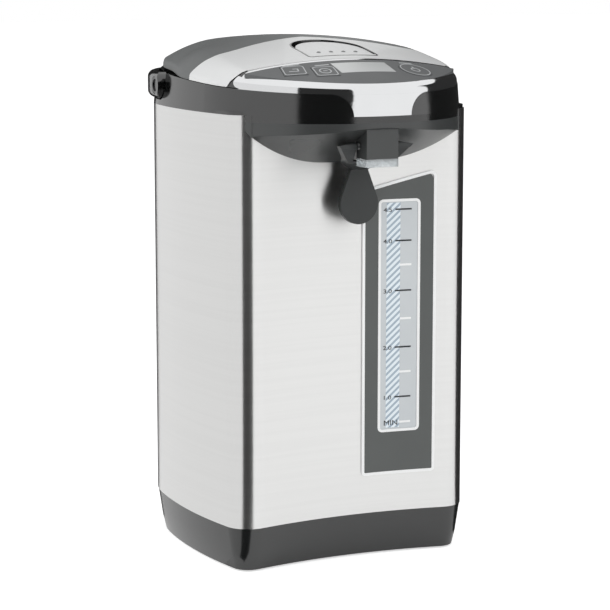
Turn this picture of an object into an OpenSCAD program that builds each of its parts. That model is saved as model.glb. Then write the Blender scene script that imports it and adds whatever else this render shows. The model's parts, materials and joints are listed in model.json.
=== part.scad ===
// Hot drink dispenser: an electric thermo pot with a hinged lid, a lever tap and a level gauge.
// Sizes are in millimetres. X points right, Y to the back and Z up.
// The front is -Y and the table is at Z = 0.

/* [Body seen from above] */
// width across the bulged sides
body_width = 208; // [206:1:214]
// radius of the bulged sides
side_radius = 384; // [360:4:420]
// distance from the widest line to the centre of each round end
end_offset = 33; // [31:0.5:35]
// distance from the widest line to the deepest point of the hollow front
front_depth = 81; // [79:0.5:83]
// radius of the hollow front
front_radius = 357; // [340:1:380]
// radius of the two front corners
corner_radius = 18.4; // [16:0.2:21]

/* [Body heights] */
// gap under the base shell, which the feet fill
foot_gap = 1.5; // [1:0.1:2.5]
// height where the base ends and the jacket begins
base_top = 34; // [32:0.5:38]
// height where the base's lower slope ends
base_break = 12; // [10:0.5:15]
// height of the steel jacket
jacket_height = 302.3; // [290:0.1:315]
// how far the base is drawn in at its lower edge
base_draw = 6; // [5:0.1:7]
// how far the base is drawn in at its break
break_draw = 3.6; // [2.8:0.1:4.2]
// how far the base stands back from the jacket
base_step = 0.4; // [0.3:0.05:0.5]

/* [Walls] */
// sheet of the jacket and of the vessel
sheet = 0.8; // [0.7:0.05:1]
// wall of the moulded shells
wall = 2.6; // [2.4:0.1:2.8]
// base plate
plate_thick = 2.5; // [2.2:0.1:3]
// gap between pieces that are fastened together
fit_gap = 0.1; // [0.05:0.05:0.2]
// gap around pieces that move
move_gap = 0.4; // [0.3:0.05:0.6]
// radial gap of a pin in a bore that turns on it
pin_gap = 0.05; // [0.03:0.01:0.08]

/* [Head] */
// height of the collar at the widest line
collar_rise = 22.7; // [21.5:0.1:24]
// forward tilt of the collar's upper edge in degrees
deck_tilt = 3.15; // [2.8:0.05:3.4]
// how far the collar leans in at its upper edge
collar_lean = 1.8; // [1.2:0.1:2.2]
// height of the dome above the collar
dome_rise = 29.2; // [28:0.1:31]
// radius of the dome, as a multiple of the body's half width
dome_ratio = 4.385; // [4.2:0.005:4.6]
// upright edge of the lid and of the trim
skirt = 4.4; // [3.6:0.1:5]
// how far the lid and the trim stand back from the body's outline
cap_inset = 2.5; // [2.2:0.1:3]
// rise of the sloped edge for each millimetre inwards
edge_slope = 1.38; // [1.2:0.02:1.5]

/* [Apron] */
// depth of the apron on the jacket, below the collar
apron_drop = 36.9; // [34:0.1:39]
// rise of the apron's underside towards the front in degrees
apron_rise = 28; // [26:0.5:30]
// half width of the underside's flat middle
apron_flat = 24; // [22:0.5:27]
// radius of the underside's turned-up sides
apron_radius = 98; // [92:1:104]

/* [Control panel] */
// length of the head ahead of the lid
front_reach = 57.5; // [56.5:0.1:58.5]
// width of the slot between the lid and the trim
slot_gap = 1.2; // [1:0.1:1.6]
// how much smaller the radius of the panel's edge is than the head's
panel_in = 1.5; // [1:0.1:2.5]
// width of the polished band in front of the panel
panel_band = 7.5; // [7:0.1:9]
// thickness of the panel
panel_thick = 2.6; // [2.2:0.1:3]
// display width
display_width = 43.4; // [40:0.2:46]
// display depth
display_depth = 19.4; // [17:0.2:21]
// display thickness
display_thick = 1; // [0.8:0.1:1.2]
// width of the ledge under the panel's edge
panel_ledge = 1.2; // [1:0.1:1.6]
// side of the two square keys
key_side = 17.4; // [16:0.2:17.6]
// diameter of the round key
round_key = 24; // [22:0.5:25]
// how far a key stands proud
key_proud = 0.4; // [0.2:0.05:0.6]
// key travel
key_travel = 0.6; // [0.4:0.05:0.8]
// half width of the tongue under the polished band
tongue_half = 22.8; // [21:0.2:24]
// radius of the tongue's hollow shoulders
shoulder_radius = 16; // [14:0.5:17]
// thickness of the tongue
tongue_thick = 1.5; // [1.2:0.1:1.6]

/* [Lid] */
// how far the lid's rear end stands back from the body's outline
lid_setback = 7.5; // [7:0.1:8.5]
// height of the upright edge of the lid's rear part
rear_skirt = 7.6; // [7:0.1:8.2]
// width of the sloping shoulder of the lid's rear part
rear_shoulder = 24; // [22:0.5:26]
// rise of that shoulder for each millimetre inwards
rear_slope = 0.67; // [0.64:0.01:0.75]
// rearmost point of the silver cover on the centre line
cover_rear = 3.5; // [1:0.5:6]
// how far the cover's rear edge comes forward for each millimetre sideways
cover_rake = 0.36; // [0.32:0.01:0.4]
// joint between the silver cover and the dark rear cover
cover_gap = 0.3; // [0.2:0.05:0.5]
// hinge pin radius
hinge_pin_r = 1.8; // [1.6:0.1:2]
// hinge knuckle radius
knuckle_r = 3.4; // [3.2:0.1:3.5]
// hinge axis, ahead of the lid's rear end
hinge_setback = 3.8; // [3.6:0.1:4.2]
// hinge axis above the collar's upper edge
hinge_lift = 3.7; // [3.6:0.05:4]
// width of each hinge lug
lug_width = 5; // [4:0.5:6]
// distance of each lug's inner side from the centre
lug_x = 8; // [7:0.5:9]

/* [Lid latch] */
// half width of the latch recess
latch_half = 27.5; // [26:0.5:29]
// distance from the slot to the latch recess
latch_setback = 8.4; // [8:0.1:9.2]
// length of the straight part of the recess
latch_straight = 26.6; // [25:0.2:28]
// height of the recess's floor above the collar
latch_seat = 10.8; // [10.4:0.1:11.6]
// finger gap behind the flap
finger_gap = 6; // [5:0.2:7]
// flap thickness
flap_thick = 3; // [2.6:0.1:3.4]
// flap pin radius
flap_pin_r = 0.8; // [0.7:0.05:0.9]
// flap barrel radius
flap_barrel_r = 1.7; // [1.6:0.05:1.8]
// bolt half width
bolt_half = 10; // [8:0.5:12]
// bolt height
bolt_height = 4; // [3.6:0.1:4.2]
// bolt length
bolt_length = 21; // [20:0.5:22]
// bolt travel
bolt_travel = 6; // [5:0.1:6.2]

/* [Carry handle] */
// how far the handle stands out from the body
handle_out = 4.4; // [4:0.1:5]
// handle height
handle_height = 20.2; // [19:0.2:21]
// height of the handle's lower edge above the jacket
handle_lift = 5; // [4.5:0.1:5.6]
// thickness of the handle
handle_thick = 8.6; // [8.2:0.1:8.8]
// pivot distance behind the widest line
handle_pivot = 40.2; // [39:0.2:42]
// gap between the folded handle and the collar
handle_gap = 1.4; // [1.3:0.05:1.6]
// length of the handle's straight arms behind the pivot
handle_arm = 20; // [18:0.5:21]
// pivot pin radius
handle_pin_r = 3; // [2.6:0.1:3.4]
// pivot pin head radius
handle_head_r = 6.3; // [5.5:0.1:7]

/* [Tap] */
// half width of the spout block
spout_half = 12.6; // [11.5:0.1:13]
// depth of the spout block
spout_depth = 16.4; // [15:0.2:17.5]
// distance of the spout block from the front edge of the head
spout_setback = 2.9; // [2.7:0.1:4]
// how far the spout block hangs below the collar
spout_drop = 30.7; // [29.5:0.1:32]
// height of the clear tip
tip_height = 5.8; // [5:0.1:6.5]
// depth of the water pipe below the collar
pipe_drop = 13.3; // [12.7:0.1:14]
// outer radius of the water pipe
pipe_r = 5; // [4.6:0.1:5.2]
// inner radius of the water pipe
pipe_bore = 3.2; // [2.8:0.1:3.6]
// lever axis behind the block's front face
lever_setback = 11.9; // [11:0.1:12.5]
// lever axis above the block's lower edge
lever_lift = 8.9; // [8.4:0.1:9]
// lever pin radius
lever_pin_r = 1.5; // [1.3:0.1:1.6]
// lever ear radius
ear_r = 2.6; // [2.4:0.1:2.7]
// inner side of each lever arm, from the centre
arm_x = 15.2; // [15:0.1:16]
// outer tip of each lever wing, from the centre
wing_x = 29.5; // [27:0.5:31]
// half width of the lever's neck
neck_half = 6.5; // [6:0.1:7.5]
// radius of the lever's paddle
paddle_r = 15.2; // [14:0.1:16]
// how far the paddle hangs below the spout block
paddle_drop = 50.6; // [48:0.2:54]
// thickness of the paddle
paddle_thick = 4; // [3.4:0.1:4.4]
// gap between the paddle and the jacket
paddle_gap = 10.5; // [10:0.1:12]

/* [Gauge] */
// left edge of the gauge plate
gauge_left = 11.4; // [9:0.2:13]
// right edge of the gauge plate
gauge_right = 65.4; // [64:0.2:68]
// height of the gauge plate's lower edge above the base
gauge_foot = 31; // [28:0.5:36]
// left upper corner of the gauge plate, below the collar
gauge_drop = 59.8; // [56:0.2:62]
// rise of the gauge plate's upper edge to the right
gauge_rise = 13; // [10:0.5:15]
// thickness of the gauge plate
gauge_thick = 1.2; // [1:0.1:1.6]
// left edge of the window
window_left = 23.8; // [22:0.2:25]
// right edge of the window
window_right = 53.4; // [52:0.2:56]
// height of the window's lower edge above the plate's
window_foot = 32; // [30:0.5:36]
// depth of the window's upper edge below the plate's left corner
window_drop = 7.5; // [6:0.5:10]
// rim of the jacket that the window rests on
window_rim = 2.2; // [1.8:0.1:2.6]
// sight tube outer radius
tube_r = 6; // [5.6:0.1:6.4]
// sight tube wall
tube_wall = 1.4; // [1.1:0.1:1.6]

/* [Vessel] */
// gap between the vessel's inside and the body's outline at the rear
insulation = 13; // [12:0.2:15]
// height of the vessel's floor above the base
vessel_lift = 18; // [16:0.5:21]
// how far the vessel narrows to its mouth
mouth_in = 7; // [6.6:0.1:8]
// depth of the vessel's lip below the collar's upper edge
lip_drop = 11; // [10.4:0.1:11.4]
// width of the vessel's lip
lip_width = 3.2; // [2.8:0.1:3.4]
// how far the heater ends inside the vessel's wall
heater_in = 34; // [31:1:40]

/* [Pump] */
// radius of the pump housing
pump_r = 17; // [16:0.5:17.5]
// height of the pump housing
pump_height = 16; // [15:0.5:17]
// height of the pump motor
motor_height = 16; // [14:0.5:17]
// middle radius of the water pipes' bends
pipe_bend = 7; // [6.5:0.1:7.4]
// radius of the impeller
impeller_r = 12.6; // [11.5:0.1:13]
// radius of the motor
motor_r = 10.5; // [10:0.25:11]
// motor shaft radius
shaft_r = 1.5; // [1.2:0.1:1.8]

/* [Rear inlet] */
// half width of the inlet socket
inlet_half = 14; // [13:0.5:15]
// depth of the inlet socket's upper edge below the jacket
inlet_drop = 5; // [4.4:0.2:6]
// half width of the socket's opening
inlet_mouth = 10; // [9:0.5:11]
// depth of the inlet socket
inlet_depth = 24; // [22:0.5:28]
// half width of the power board
board_half = 40; // [34:1:44]
// depth of the power board
board_depth = 56; // [46:1:60]
// thickness of the power board
board_thick = 1.6; // [1.2:0.1:2]

/* [Hidden] */
$fn = 96;
over = 1;
far = 260;

// plan
half_width = body_width / 2;
mid_y = -handle_out / 2;
side_x = side_radius - half_width;
end_r = side_radius - norm([side_x, end_offset]);
rear_y = mid_y + end_offset;
front_y = mid_y - end_offset;
ray = atan2(end_offset, side_x);
face_y = mid_y - front_depth;
hollow_y = face_y - front_radius;
nose_y = front_y - end_r;

// heights
jacket_top = base_top + jacket_height;
deck_height = jacket_top + collar_rise;
dome_top = deck_height + dome_rise;
head_low = jacket_top - collar_rise;
head_tall = dome_top + wall - head_low;
apron_low = jacket_top - apron_drop;
pipe_height = jacket_top - pipe_drop;
spout_low = jacket_top - spout_drop;
paddle_low = spout_low - paddle_drop;
lip_height = deck_height - lip_drop;
vessel_floor = base_top + vessel_lift;
inlet_top = base_top - inlet_drop;
gauge_low = base_top + gauge_foot;
gauge_high_left = jacket_top - gauge_drop;
gauge_high_right = gauge_high_left + gauge_rise;
window_low = gauge_low + window_foot;
window_high = gauge_high_left - window_drop;
handle_low = jacket_top + handle_lift;

// radii that follow the body's outline
vessel_r = end_r - insulation;
mouth_r = vessel_r - mouth_in;
heater_r = vessel_r - heater_in;
lid_rear_radius = end_r - lid_setback;
handle_inner = end_r + handle_out - handle_thick;
panel_radius = end_r - panel_in;

// head
dome_radius = dome_ratio * half_width;
dome_z = dome_top - dome_radius;
slot_y = nose_y + front_reach;
trim_y = slot_y - slot_gap;
panel_y = nose_y + panel_band + panel_radius;
lid_gap = move_gap;
hinge_run = rear_y + lid_rear_radius - hinge_setback;
hinge_y = deck_point(hinge_run, hinge_lift)[0];
hinge_z = deck_point(hinge_run, hinge_lift)[1];
plug_r = mouth_r - 2;
seal_r = mouth_r + 2.8;
bore_r = mouth_r + lip_width + sheet;
plug_low = lip_height + sheet + 3.2;
display_y = trim_y - 18;
display_x = 2;

// latch
latch_y = slot_y + latch_setback;
latch_arc_y = latch_y + latch_straight;
latch_floor = deck_at(latch_y) + latch_seat;
flap_lead = 1.1;
flap_y = latch_y + flap_lead + 1.3;
flap_z = dome_at(0, flap_y) - 2.4;
bolt_z = latch_floor - 2.5 - bolt_height;

// carry handle
pivot_y = mid_y + handle_pivot;
pivot_z = handle_low + handle_height / 2;
shelf_r = handle_inner - handle_gap;
arm_in = half_width - 6.1;
shoulder_y = pivot_y - handle_height / 2 - 2 * move_gap;
shelf_z = handle_low - 1;

// tap
block_y = nose_y + spout_setback;
block_back = block_y + spout_depth;
block_top = jacket_top - 3.2;
lever_y = block_y + lever_setback;
lever_z = spout_low + lever_lift;
arm_width = 3.4;
paddle_y = face_y - paddle_gap - paddle_thick;

// gauge and water way
tube_x = (window_left + window_right) / 2;
tube_y = face_y + 11.2;
tube_low = window_low - 5;
tube_high = window_high + 6;
cup_r = tube_r + 1.4;

// inside the base
plate_top = foot_gap + plate_thick;
pump_y = tube_y + 10;
pump_low = plate_top + motor_height;
pump_top = pump_low + pump_height;
board_y = rear_y - 9;
board_z = plate_top + 6;
post_in = 6;

// places of the feet and screws on the base plate
screw_r = end_r - 14;
screw_turn = 23;
boss_r = 4;
boss_top = plate_top + 9;
FOOT_SPOTS = [for (x = [-1, 1]) for (back = [0, 1])
    [x * (half_width - (back == 1 ? 44 : 36)), back == 1 ? rear_y + end_r / 2 - 4 : face_y + 25]];
SCREW_SPOTS = [for (x = [-1, 1]) for (back = [0, 1])
    back == 1 ? [x * screw_r * cos(screw_turn), rear_y + screw_r * sin(screw_turn)]
              : [x * (half_width - 16), face_y + 35]];

function unit(v) = v / norm(v);

// one of the two points where two circles meet
function meet(c1, r1, c2, r2, turn) =
    let (d = norm(c2 - c1), e = (c2 - c1) / d, a = (r1 * r1 - r2 * r2 + d * d) / (2 * d))
    c1 + a * e + turn * sqrt(r1 * r1 - a * a) * [-e[1], e[0]];

// centre of the left front corner's arc
function corner_at() =
    let (side = [side_x, mid_y], hollow = [0, hollow_y],
         p = meet(side, side_radius - corner_radius, hollow, front_radius + corner_radius, 1),
         q = meet(side, side_radius - corner_radius, hollow, front_radius + corner_radius, -1))
    p[0] < q[0] ? p : q;

// height of the collar's upper edge
function deck_at(y) = deck_height + (y - mid_y) * tan(deck_tilt);

// y and z of a point above the collar's upper edge, measured along and square to it
function deck_point(y, lift) =
    [mid_y + (y - mid_y) * cos(deck_tilt) - lift * sin(deck_tilt),
     deck_height + (y - mid_y) * sin(deck_tilt) + lift * cos(deck_tilt)];

// height of the dome
function dome_at(x, y) = dome_z + sqrt(pow(dome_radius, 2) - x * x - pow(y - rear_y, 2));

// y of the jacket's hollow front
function face_at(x) = hollow_y + sqrt(pow(front_radius, 2) - x * x);

// a profile drawn in x and z, drawn out between two y
module front_prism(y0, y1) {
    translate([0, y1, 0]) rotate([90, 0, 0]) linear_extrude(y1 - y0) children();
}

// a profile drawn in y and z, drawn out between two x
module side_prism(x0, x1) {
    translate([x0, 0, 0]) rotate([90, 0, 90]) linear_extrude(x1 - x0) children();
}

module upright(x, y, z0, z1, r) {
    translate([x, y, z0]) cylinder(h = z1 - z0, r = r);
}

module crosswise(x0, x1, y, z, r) {
    translate([x0, y, z]) rotate([0, 90, 0]) cylinder(h = x1 - x0, r = r);
}

module lengthwise(x, y0, y1, z, r) {
    translate([x, y0, z]) rotate([-90, 0, 0]) cylinder(h = y1 - y0, r = r);
}

module slab(x0, x1, y0, y1, z0, z1) {
    translate([x0, y0, z0]) cube([x1 - x0, y1 - y0, z1 - z0]);
}

// the part of the plan that a round end takes, back for 1 and front for -1
module end_sector(way) {
    y = mid_y + way * end_offset;
    polygon([[0, y], [far * cos(ray), y + way * far * sin(ray)], [far, y + way * far],
             [-far, y + way * far], [-far * cos(ray), y + way * far * sin(ray)]]);
}

module end_cone(way, h, in0, in1) {
    translate([0, mid_y + way * end_offset, 0]) cylinder(h = h, r1 = end_r - in0, r2 = end_r - in1);
}

module side_cones(h, in0, in1) {
    intersection_for(way = [-1, 1])
        translate([way * side_x, mid_y, 0])
            cylinder(h = h, r1 = side_radius - in0, r2 = side_radius - in1);
}

// the head's outline with two round ends, drawn in by in0 below and in1 above
module head_block(z0, z1, in0, in1) {
    h = z1 - z0;
    translate([0, 0, z0]) {
        for (way = [-1, 1])
            intersection() {
                linear_extrude(h) end_sector(way);
                end_cone(way, h, in0, in1);
            }
        intersection() {
            linear_extrude(h)
                polygon([[0, front_y], [far * cos(ray), front_y - far * sin(ray)],
                         [far * cos(ray), rear_y + far * sin(ray)], [0, rear_y],
                         [-far * cos(ray), rear_y + far * sin(ray)],
                         [-far * cos(ray), front_y - far * sin(ray)]]);
            side_cones(h, in0, in1);
        }
    }
}

// the kite between a corner arc's centre and its two tangent points
module corner_kite() {
    p = corner_at();
    u = unit(p - [side_x, mid_y]);
    v = unit([0, hollow_y] - p);
    k = 3 * corner_radius;
    polygon([p, p + u * k, p + (u + v) * k, p + v * k]);
}

// the body's outline with a round back and a hollow front, drawn in by in0 below and in1 above
module body_block(z0, z1, in0, in1) {
    h = z1 - z0;
    lean = (in1 - in0) / h * over;
    p = corner_at();
    translate([0, 0, z0]) {
        intersection() {
            linear_extrude(h) end_sector(1);
            end_cone(1, h, in0, in1);
        }
        difference() {
            intersection() {
                linear_extrude(h)
                    polygon([[0, rear_y], [-far * cos(ray), rear_y + far * sin(ray)],
                             [-far * cos(ray), -far],
                             [far * cos(ray), -far], [far * cos(ray), rear_y + far * sin(ray)]]);
                side_cones(h, in0, in1);
            }
            translate([0, hollow_y, -over])
                cylinder(h = h + 2 * over, r1 = front_radius + in0 - lean, r2 = front_radius + in1 + lean);
            for (way = [0, 1])
                mirror([way, 0, 0]) translate([0, 0, -over]) linear_extrude(h + 2 * over) corner_kite();
        }
        for (way = [0, 1])
            mirror([way, 0, 0])
                intersection() {
                    linear_extrude(h) corner_kite();
                    translate([p[0], p[1], 0])
                        cylinder(h = h, r1 = corner_radius - in0, r2 = corner_radius - in1);
                }
    }
}

// moves what is drawn above z = 0 onto the collar's tilted upper edge
module on_deck() {
    translate([0, mid_y, deck_height]) rotate([deck_tilt, 0, 0]) translate([0, -mid_y, 0]) children();
}

module dome(lower) {
    translate([0, rear_y, dome_z]) sphere(r = dome_radius - lower, $fn = 240);
}

// the domed cap above the collar, that the lid and the trim are cut from
module cap_block() {
    rise = 27;
    intersection() {
        on_deck() {
            head_block(0, skirt, cap_inset - 0.4, cap_inset);
            head_block(skirt, skirt + rise, cap_inset, cap_inset + rise / edge_slope);
        }
        dome(0);
    }
}

module lens(grow) {
    intersection() {
        translate([0, panel_y]) circle(r = panel_radius + grow);
        translate([-far, -far]) square([2 * far, far + trim_y - wall + grow]);
    }
}

// a hollow front shell against the jacket, between two distances from its face
module front_skin(near, off) {
    difference() {
        translate([0, hollow_y, 0]) cylinder(h = far * 2, r = front_radius - near);
        translate([0, hollow_y, -over]) cylinder(h = far * 2 + 2 * over, r = front_radius - off);
    }
}

// a quarter of a bent round bar, from +X to +Y
module quarter(bend_r, r) {
    rotate_extrude(angle = 90) translate([bend_r, 0]) circle(r = r);
}

// a wound wire along Z, from formula points
module coil(mean_r, wire_r, turns, length) {
    steps = 14;
    sides = 6;
    n = turns * steps;
    points = [for (i = [0:n]) for (j = [0:sides - 1])
        let (a = 360 * i / steps, b = 360 * j / sides, r = mean_r + wire_r * cos(b))
        [r * cos(a), r * sin(a), wire_r + (length - 2 * wire_r) * i / n + wire_r * sin(b)]];
    rings = [for (i = [0:n - 1]) for (j = [0:sides - 1]) for (k = [0, 1])
        let (a = i * sides + j, b = i * sides + (j + 1) % sides)
        k == 0 ? [a, a + sides, b] : [b, a + sides, b + sides]];
    first = [[for (j = [0:sides - 1]) j]];
    last = [[for (j = [sides - 1:-1:0]) n * sides + j]];
    polyhedron(points, concat(rings, first, last));
}

module base_shell() {
    ledge = base_draw + wall + 3.4;
    color("#4a4c4c")
        difference() {
            union() {
                difference() {
                    union() {
                        body_block(foot_gap, base_break, base_draw, break_draw);
                        body_block(base_break, base_top, break_draw, base_step);
                    }
                    body_block(foot_gap - over, plate_top, base_draw + wall, base_draw + wall);
                    body_block(plate_top - over, plate_top + 3 + over, ledge, ledge);
                    body_block(plate_top + 3, base_top + over, base_draw + wall - 0.2, wall + sheet);
                }
                difference() {
                    body_block(base_top - 4, base_top + 6, sheet + 0.2, sheet + 0.2);
                    body_block(base_top - 4 - over, base_top + 6 + over,
                               sheet + wall - 0.3, sheet + wall - 0.3);
                }
                for (s = SCREW_SPOTS) upright(s[0], s[1], plate_top, boss_top, boss_r);
            }
            slab(-inlet_half - fit_gap, inlet_half + fit_gap, rear_y + end_r / 2, far,
                 plate_top + 3 - fit_gap, inlet_top + fit_gap);
            for (s = SCREW_SPOTS) upright(s[0], s[1], 0, boss_top - over, 1.7);
        }
}

module base_plate() {
    in = base_draw + wall + fit_gap;
    color("#3a3c3c")
        difference() {
            union() {
                body_block(foot_gap, plate_top, in, in);
                for (x = [-1, 1]) for (y = [post_in, board_depth - post_in])
                    upright(x * (board_half - post_in), board_y + y, foot_gap, board_z, post_in / 2);
            }
            for (s = FOOT_SPOTS) upright(s[0], s[1], 0, foot_gap + 1.2, 9 + fit_gap);
            for (s = SCREW_SPOTS) {
                upright(s[0], s[1], 0, plate_top + over, 1.7);
                upright(s[0], s[1], 0, foot_gap + 1.2, 3.2);
            }
        }
}

module feet() {
    color("#202020")
        for (s = FOOT_SPOTS) upright(s[0], s[1], 0, foot_gap + 1.2, 9);
}

module base_screws() {
    color("#b8b8b8")
        for (s = SCREW_SPOTS)
            difference() {
                union() {
                    upright(s[0], s[1], foot_gap + 0.2, foot_gap + 1.2, 3);
                    upright(s[0], s[1], foot_gap + 0.2, boss_top - 2 * over, 1.6);
                }
                slab(s[0] - 2, s[0] + 2, s[1] - 0.4, s[1] + 0.4, foot_gap - over, foot_gap + 0.6);
                slab(s[0] - 0.4, s[0] + 0.4, s[1] - 2, s[1] + 2, foot_gap - over, foot_gap + 0.6);
            }
}

module jacket() {
    color("#d0d2d2")
        difference() {
            body_block(base_top, jacket_top, 0, 0);
            body_block(base_top - over, jacket_top + over, sheet, sheet);
            slab(window_left + window_rim, window_right - window_rim, -far, face_y + 12,
                 window_low + window_rim, window_high - window_rim);
            lengthwise(0, face_y - 12, face_y + 12, pipe_height, pipe_r + 1);
        }
}

module tongue_shape(grow) {
    low = jacket_top - over;
    high = deck_at(nose_y) + 0.6;
    half = tongue_half + grow;
    reach = half + shoulder_radius;
    difference() {
        polygon([[-reach, high + 6], [reach, high + 6], [reach, high],
                 [reach, high - shoulder_radius], [half, low],
                 [-half, low], [-reach, high - shoulder_radius], [-reach, high]]);
        for (way = [-1, 1])
            translate([way * reach, high - shoulder_radius]) {
                circle(r = shoulder_radius - grow);
                translate([-shoulder_radius + grow, -2 * shoulder_radius])
                    square([2 * shoulder_radius, 2 * shoulder_radius]);
            }
    }
}

module collar_outer(in) {
    lean = collar_lean / (deck_height - jacket_top);
    high = 40;
    difference() {
        head_block(jacket_top, jacket_top + high, in, in + lean * high);
        on_deck() slab(-far, far, -far, far, 0, 60);
    }
}

module collar() {
    cavity = lip_height - 4;
    color("#4d4f4f")
        difference() {
            union() {
                collar_outer(0);
                difference() {
                    body_block(jacket_top - 6, jacket_top + wall, sheet + 0.2, sheet + 0.2);
                    body_block(jacket_top - 6 - over, jacket_top + wall + over, sheet + wall, sheet + wall);
                }
                on_deck()
                    for (way = [-1, 1])
                        intersection() {
                            slab(way > 0 ? lug_x : -lug_x - lug_width, way > 0 ? lug_x + lug_width : -lug_x,
                                 hinge_run - knuckle_r, hinge_run + knuckle_r, -over, 20);
                            union() {
                                crosswise(-20, 20, hinge_run, hinge_lift, knuckle_r);
                                slab(-20, 20, hinge_run - knuckle_r, hinge_run + knuckle_r,
                                     -over, hinge_lift);
                            }
                        }
            }
            difference() {
                head_block(jacket_top - 8, cavity, wall, wall);
                upright(0, rear_y, jacket_top - 9, cavity + over, bore_r + wall);
                difference() {
                    slab(-far, far, -far, far, jacket_top - 9, jacket_top + wall);
                    body_block(jacket_top - 9, jacket_top + wall + over, sheet + wall, sheet + wall);
                    slab(-far, far, -far, face_y - corner_radius, jacket_top - 9, jacket_top + wall + over);
                }
            }
            upright(0, rear_y, jacket_top - 9, lip_height, mouth_r + sheet + 0.4);
            upright(0, rear_y, lip_height, far * 2, bore_r);
            difference() {
                union() {
                    slab(-far, far, pivot_y, far, shelf_z, far * 2);
                    crosswise(-far, far, pivot_y, pivot_z, handle_height / 2 + 1);
                    slab(-far, far, pivot_y - handle_height / 2 - 1, far, pivot_z, far * 2);
                }
                head_block(shelf_z - over, far * 2, end_r - shelf_r, end_r - shelf_r);
            }
            for (way = [-1, 1]) crosswise(way > 0 ? shelf_r - 9 : -shelf_r - 9,
                                          way > 0 ? shelf_r + 9 : -shelf_r + 9,
                                          pivot_y, pivot_z, handle_pin_r);
            intersection() {
                front_prism(nose_y - 9, nose_y + 30) tongue_shape(fit_gap);
                difference() {
                    head_block(jacket_top - 9, jacket_top + 40, -9, -9);
                    collar_outer_slim();
                }
            }
            crosswise(-20, 20, hinge_y, hinge_z, hinge_pin_r + pin_gap);
        }
}

// what stays of the collar behind the tongue
module collar_outer_slim() {
    lean = collar_lean / (deck_height - jacket_top);
    high = 60;
    head_block(jacket_top - 20, jacket_top + high - 20, tongue_thick + fit_gap - lean * 20,
               tongue_thick + fit_gap + lean * (high - 20));
}

module apron() {
    color("#565858")
        difference() {
            intersection() {
                head_block(apron_low - 8, jacket_top, 0.6, 0.6);
                translate([0, face_y, apron_low]) rotate([-apron_rise, 0, 0])
                    for (way = [0, 1])
                        mirror([way, 0, 0]) {
                            slab(0, apron_flat, -120, 60, 0, apron_radius);
                            intersection() {
                                lengthwise(apron_flat, -120, 60, apron_radius, apron_radius);
                                slab(apron_flat, apron_flat + apron_radius, -120, 60, 0, apron_radius);
                            }
                        }
                upright(0, hollow_y, apron_low - 9, jacket_top + over, front_radius - fit_gap);
            }
            slab(-spout_half - fit_gap, spout_half + fit_gap, block_y - fit_gap, block_back + fit_gap,
                 apron_low - 9, block_top);
            lengthwise(0, block_back - over, face_y + 20, pipe_height, pipe_r + fit_gap);
            slab(-switch_half - fit_gap, switch_half + fit_gap, switch_y - fit_gap, switch_y + 6 + fit_gap,
                 apron_low - 9, switch_top);
        }
}

module front_trim() {
    color("#c9cbcb") {
        difference() {
            intersection() {
                cap_block();
                slab(-far, far, -far, trim_y, head_low, head_low + head_tall);
            }
            difference() {
                translate([0, 0, head_low]) linear_extrude(head_tall) lens(fit_gap);
                dome(panel_thick);
            }
            intersection() {
                on_deck() head_block(-over, 40, cap_inset + 4, cap_inset + 4);
                translate([0, 0, head_low]) linear_extrude(head_tall) lens(-panel_ledge);
                dome(panel_thick - over);
            }
        }
        intersection() {
            front_prism(nose_y - 9, nose_y + 30) tongue_shape(0);
            difference() {
                collar_outer(0);
                collar_outer_slim();
            }
        }
    }
}

module key_plan(which, grow) {
    side = key_side + 2 * grow;
    if (which == 0) translate([-0.494 * half_width, trim_y - 14.6]) rotate(-12) square(side, center = true);
    if (which == 1) translate([-0.292 * half_width, trim_y - 22.6]) rotate(-8) square(side, center = true);
    if (which == 2) translate([0.408 * half_width, trim_y - 21.6]) circle(r = round_key / 2 + grow);
}

module control_panel() {
    color("#5c5e5e")
        difference() {
            intersection() {
                translate([0, 0, head_low]) linear_extrude(head_tall) lens(0);
                dome(0);
            }
            dome(panel_thick);
            for (which = [0:2]) translate([0, 0, head_low]) linear_extrude(head_tall) key_plan(which, 0.25);
            difference() {
                slab(display_x - display_width / 2 - fit_gap, display_x + display_width / 2 + fit_gap,
                     display_y - display_depth / 2 - fit_gap, display_y + display_depth / 2 + fit_gap,
                     head_low, head_low + head_tall);
                dome(display_thick);
            }
        }
}

module display() {
    color("#b9bcbc")
        difference() {
            intersection() {
                slab(display_x - display_width / 2, display_x + display_width / 2,
                     display_y - display_depth / 2, display_y + display_depth / 2,
                     head_low, head_low + head_tall);
                dome(0);
            }
            dome(display_thick);
        }
}

module key(which) {
    color("#6a6c6c")
        difference() {
            intersection() {
                translate([0, 0, head_low]) linear_extrude(head_tall) key_plan(which, 0);
                dome(-key_proud);
            }
            dome(panel_thick + 0.4);
        }
}

module key_left() {
    key(0);
}

module key_middle() {
    key(1);
}

module key_right() {
    key(2);
}

module control_board() {
    color("#2f5d46")
        intersection() {
            difference() {
                dome(panel_thick + key_travel + 1);
                dome(panel_thick + key_travel + 2.6);
            }
            translate([0, 0, head_low]) linear_extrude(head_tall) lens(-panel_ledge - fit_gap);
            on_deck() head_block(0, 40, cap_inset + 4.2, cap_inset + 4.2);
        }
}

// the upright block of the latch recess, drawn in at its sides, ahead and behind
module latch_block(in, ahead, behind) {
    half = latch_half - in;
    arc_y = latch_arc_y - behind;
    slab(-half, half, latch_y + ahead, arc_y, latch_floor, latch_floor + 40);
    intersection() {
        upright(0, arc_y, latch_floor, latch_floor + 40, half);
        slab(-far, far, arc_y, far, latch_floor - over, latch_floor + 40 + over);
    }
}

// the empty space in the lid's rear part, above its inner plate
module lid_hollow() {
    intersection() {
        upright(0, rear_y, head_low, head_low + head_tall, plug_r - wall);
        dome(wall + 0.6);
    }
}

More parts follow.
